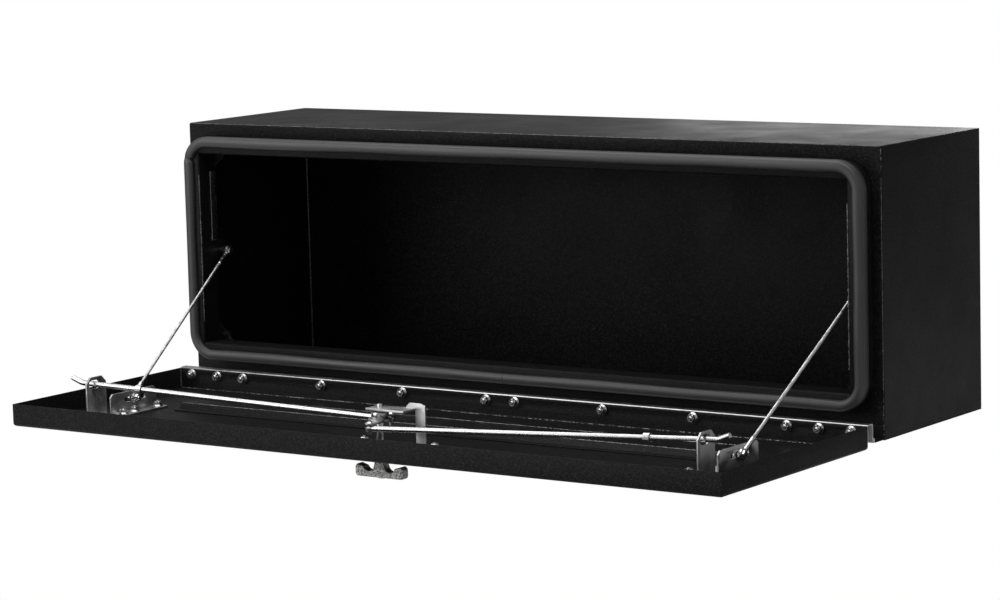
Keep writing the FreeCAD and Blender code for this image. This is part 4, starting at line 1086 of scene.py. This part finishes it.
def add_grip():
    """Cast T-grip: the outline made thick with rounded rims, a turned neck, and ribs down both faces."""
    outline = grip_outline()
    shape = bmesh.new()
    rows = []
    for y in (-GRIP_HALF_THICKNESS, GRIP_HALF_THICKNESS):
        rows.append([shape.verts.new((x, LATCH_Y + y, z)) for x, z in outline])
    shape.faces.new(rows[0])
    shape.faces.new(rows[1])
    count = len(outline)
    for index in range(count):
        following = (index + 1) % count
        shape.faces.new((rows[0][index], rows[0][following], rows[1][following], rows[1][index]))
    bmesh.ops.recalc_face_normals(shape, faces=shape.faces)
    rims = [edge for edge in shape.edges if edge.verts[0].co.y == edge.verts[1].co.y]
    bmesh.ops.bevel(shape, geom=rims, offset=0.0023, segments=4, profile=0.55, affect="EDGES")
    bmesh.ops.triangulate(shape, faces=[face for face in shape.faces if len(face.verts) > 4])
    body = bpy.data.meshes.new("grip")
    shape.to_mesh(body)
    shape.free()
    stem = turned("stem", [(0.0, GRIP_HORN_TOP - 0.006), (0.0104, GRIP_HORN_TOP - 0.006), (0.0098, -0.0236),
                           (0.0088, -0.0225), (0.0085, -0.0106), (0.0, -0.0106)], 28)
    stem.transform(Matrix.Translation((0, LATCH_Y, 0)))
    ribs = []
    for side in (-1, 1):
        for place in (0.0018, 0.0050):
            start = Vector((side * place, LATCH_Y - GRIP_HALF_THICKNESS + 0.0002, GRIP_NECK_TOP - 0.001))
            end = Vector((side * (place + 0.0022), LATCH_Y - GRIP_HALF_THICKNESS + 0.0002, GRIP_BOTTOM + 0.012))
            ribs.append(tube("rib", [start, start.lerp(end, 0.5), end], 0.0008, 8))
            back = Vector((0, 2 * (GRIP_HALF_THICKNESS - 0.0002), 0))
            ribs.append(tube("rib", [start + back, start.lerp(end, 0.5) + back, end + back], 0.0008, 8))
    piece = add_piece("t_grip", joined("t_grip", [body, stem] + ribs), "handle", "handle_metal")
    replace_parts(piece, "t_handle")


add_grip()


# Welds, spot welds, sealant, and painted highlights along bends and welds
SHEET = 0.0019
STIFFENER_FLAT = 0.013
STIFFENER_SLOPE = 0.006
GLINT_DOT_STEP = 0.0024
SEALANT_PLACE = -0.577
RING_PLACE = Vector((0.0, -0.008, 0.277))
RING_RADIUS = 0.045


def bead(name, start, end, radius, step=0.0028, seed=1):
    """Weld bead along a line, with the ripples of its puddles."""
    rng = random.Random(seed)
    run = end - start
    count = max(4, int(run.length / step))
    path = [start + run * (index / count) for index in range(count + 1)]
    sizes = [radius * (1.0 + 0.16 * (index % 2) + rng.uniform(-0.10, 0.10)) for index in range(count + 1)]
    return tube(name, path, lambda index: sizes[index], 8)


def painted_glint_line(start, end, size, seed):
    """Row of dots along a bend, a painted highlight where the coat's texture glints there."""
    rng = random.Random(seed)
    run = end - start
    count = int(run.length / GLINT_DOT_STEP)
    across = run.normalized().orthogonal().normalized()
    path = [start + run * (index / count) + across * rng.uniform(-0.3, 0.3) * size for index in range(count + 1)]
    sizes = [size * rng.uniform(0.25, 1.25) for index in range(count + 1)]
    return tube("grit", path, lambda index: sizes[index], 6)


def add_highlight_coat_piece(name, meshes, body):
    """Piece in the lighter, glossier coat, a painted highlight along edges and weld seams."""
    mesh = joined(name, meshes)
    mesh.materials.append(EDGE_HIGHLIGHT_COAT)
    add_piece(name, mesh, body, "black_coat")


def add_welds():
    # The weld beads below take the lighter edge coat, which paints a highlight on them.
    low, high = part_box("door_pan")
    seams = []
    for index, x in enumerate((low.x + SHEET, high.x - SHEET)):
        for y in (low.y + SHEET, high.y - SHEET):
            seams.append(bead("seam", Vector((x, y, low.z + 0.004)), Vector((x, y, high.z - 0.0005)), 0.0013,
                              seed=index + 3))
    add_highlight_coat_piece("door_corner_welds", seams, "door")
    low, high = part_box("back_panel")
    seams = [bead("seam", Vector((x, low.y, 0.004)), Vector((x, low.y, high.z - 0.004)), 0.0014, 0.004, seed=11)
             for x in (low.x + SHEET, high.x - SHEET)]
    add_highlight_coat_piece("box_corner_welds", seams, "box")


def add_painted_edge_glints():
    """Dotted lines along the bends in the lighter coat: painted highlights where the coat's texture catches the light.
    """
    low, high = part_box("door_stiffener")
    floor = low.z + 0.0004
    crown = high.z - 0.0002
    rows = [(low.y + STIFFENER_FLAT, floor), (low.y + STIFFENER_FLAT + STIFFENER_SLOPE, crown),
            (high.y - STIFFENER_FLAT - STIFFENER_SLOPE, crown), (high.y - STIFFENER_FLAT, floor)]
    lines = [painted_glint_line(Vector((low.x + 0.001, y, z)), Vector((high.x - 0.001, y, z)), 0.0009, index)
             for index, (y, z) in enumerate(rows)]
    low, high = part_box("door_pan")
    for index, y in enumerate((low.y + SHEET + 0.0004, high.y - SHEET - 0.0004)):
        lines.append(painted_glint_line(Vector((low.x + 0.004, y, low.z + SHEET + 0.0004)),
                               Vector((high.x - 0.004, y, low.z + SHEET + 0.0004)), 0.0010, index + 9))
    add_highlight_coat_piece("door_edge_grit", lines, "door")
    lines = []
    for index, (name, side) in enumerate((("frame_left_jamb", -1), ("frame_right_jamb", 1))):
        low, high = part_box(name)
        x = high.x if side < 0 else low.x
        lines.append(painted_glint_line(Vector((x + side * 0.0006, low.y + 0.0006, low.z + 0.045)),
                               Vector((x + side * 0.0006, low.y + 0.0006, high.z - 0.045)), 0.0010, index + 20))
    low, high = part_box("right_side_panel")
    lines.append(painted_glint_line(Vector((high.x - 0.0004, low.y + 0.0004, low.z + 0.002)),
                           Vector((high.x - 0.0004, low.y + 0.0004, high.z - 0.002)), 0.0005, 30))
    low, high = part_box("top_panel")
    lines.append(painted_glint_line(Vector((low.x + 0.002, low.y + 0.0004, high.z - 0.0004)),
                           Vector((high.x - 0.002, low.y + 0.0004, high.z - 0.0004)), 0.0005, 31))
    add_highlight_coat_piece("box_edge_grit", lines, "box")


def add_inner_marks():
    """Wavy line of sealant on the back panel, and the faint ring pressed into the left side."""
    low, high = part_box("back_panel")
    rng = random.Random(5)
    count = 70
    path = []
    for index in range(count + 1):
        wobble = 0.0035 * math.sin(index * 0.21) + rng.uniform(-0.0006, 0.0006)
        path.append(Vector((SEALANT_PLACE + wobble, low.y, 0.012 + (high.z - 0.03) * index / count)))
    sealant = tube("sealant", path, lambda index: 0.0007 + 0.0004 * math.sin(index * 1.7), 8)
    add_piece("back_sealant", sealant, "box", "black_coat")
    low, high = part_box("left_side_panel")
    circle = []
    for step in range(73):
        angle = math.tau * step / 72
        circle.append(Vector((low.x + SHEET, RING_PLACE.y + RING_RADIUS * math.cos(angle),
                              RING_PLACE.z + RING_RADIUS * math.sin(angle))))
    add_piece("side_wall_ring", tube("ring", circle, 0.0005, 8), "box", "black_coat")


def add_spot_welds():
    """Rows of spot welds along both flanges of the stiffener."""
    low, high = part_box("door_stiffener")
    dimple = turned("spot", [(0.0, 0.0), (0.0030, 0.0), (0.0028, 0.0002), (0.0018, 0.0001), (0.0, 0.0001)], 14)
    seats = []
    count = 13
    for row in (low.y + 0.006, high.y - 0.006):
        for index in range(count):
            x = low.x + 0.03 + (high.x - low.x - 0.06) * index / (count - 1)
            seats.append((Vector((x, row, low.z + 0.0019)), UP, 1.0))
    add_piece("stiffener_spot_welds", set_out("stiffener_spot_welds", dimple, seats, "black_coat"), "door",
              "black_coat")


add_welds()
add_painted_edge_glints()
add_inner_marks()
add_spot_welds()


# Floor and light
def seen_directly(tree):
    """One where the ray comes from the camera or through glass, and the glossy ray's own flag."""
    path = node(tree, "ShaderNodeLightPath")
    first = node(tree, "ShaderNodeMath", operation="MAXIMUM")
    tree.links.new(path.outputs["Is Camera Ray"], first.inputs[0])
    tree.links.new(path.outputs["Is Transmission Ray"], first.inputs[1])
    return first.outputs["Value"], path.outputs["Is Glossy Ray"]


def stage_material():
    """White to the camera, plain diffuse white for the rest."""
    material = bpy.data.materials.new("studio_white")
    material.use_nodes = True
    tree = material.node_tree
    tree.nodes.clear()
    out = node(tree, "ShaderNodeOutputMaterial")
    plain = node(tree, "ShaderNodeBsdfDiffuse")
    plain.inputs["Color"].default_value = grey(0.8)
    glow = node(tree, "ShaderNodeEmission")
    glow.inputs["Color"].default_value = WHITE
    mix = node(tree, "ShaderNodeMixShader")
    tree.links.new(seen_directly(tree)[0], mix.inputs["Fac"])
    tree.links.new(plain.outputs["BSDF"], mix.inputs[1])
    tree.links.new(glow.outputs["Emission"], mix.inputs[2])
    tree.links.new(mix.outputs["Shader"], out.inputs["Surface"])
    return material


def add_floor():
    reach = 14.0
    mesh = bpy.data.meshes.new("floor")
    low = cad_low.z - FLOOR_DROP
    corners = [(-reach, -reach, low), (reach, -reach, low), (reach, reach, low), (-reach, reach, low)]
    mesh.from_pydata(corners, [], [(0, 1, 2, 3)])
    floor = bpy.data.objects.new("floor", mesh)
    bpy.context.scene.collection.objects.link(floor)
    mesh.materials.append(stage_material())


def add_world():
    world = bpy.data.worlds.new("studio")
    bpy.context.scene.world = world
    world.use_nodes = True
    tree = world.node_tree
    background = tree.nodes["Background"]
    background.inputs["Color"].default_value = WHITE
    direct, glossy = seen_directly(tree)
    strength = node(tree, "ShaderNodeMath", operation="MAXIMUM")
    tree.links.new(spread(tree, direct, 0.0, 1.0, STUDIO_AMBIENT, 1.0), strength.inputs[0])
    tree.links.new(spread(tree, glossy, 0.0, 1.0, 0.0, STUDIO_REFLECTION), strength.inputs[1])
    tree.links.new(strength.outputs["Value"], background.inputs["Strength"])


def add_lamp(name, place, target, size, power):
    data = bpy.data.lights.new(name, "AREA")
    data.shape = "RECTANGLE"
    data.size, data.size_y = size
    data.energy = power
    lamp = bpy.data.objects.new(name, data)
    bpy.context.scene.collection.objects.link(lamp)
    lamp.location = place
    lamp.rotation_euler = (Vector(target) - Vector(place)).to_track_quat("-Z", "Y").to_euler()
    lamp.visible_camera = False


def add_lights():
    add_lamp("overhead", (-0.3, -0.6, 2.6), (0.0, -0.2, 0.2), (3.8, 2.4), 64.0)
    add_lamp("front_left", (-2.6, -3.0, 1.6), (0.0, -0.1, 0.2), (2.6, 2.6), 60.0)
    add_lamp("right_side", (3.2, -1.2, 1.2), (0.3, 0.0, 0.2), (1.0, 1.6), 3.0)
    add_lamp("front_low", (-3.4, -5.2, -0.15), (0.0, 0.1, 0.2), (2.4, 0.8), 14.0)
    add_lamp("behind", (-1.7, 4.6, 1.0), (0.5, 0.0, 0.4), (1.6, 1.0), 16.0)


bpy.context.scene.view_settings.view_transform = "Standard"
add_world()
add_floor()
add_lights()
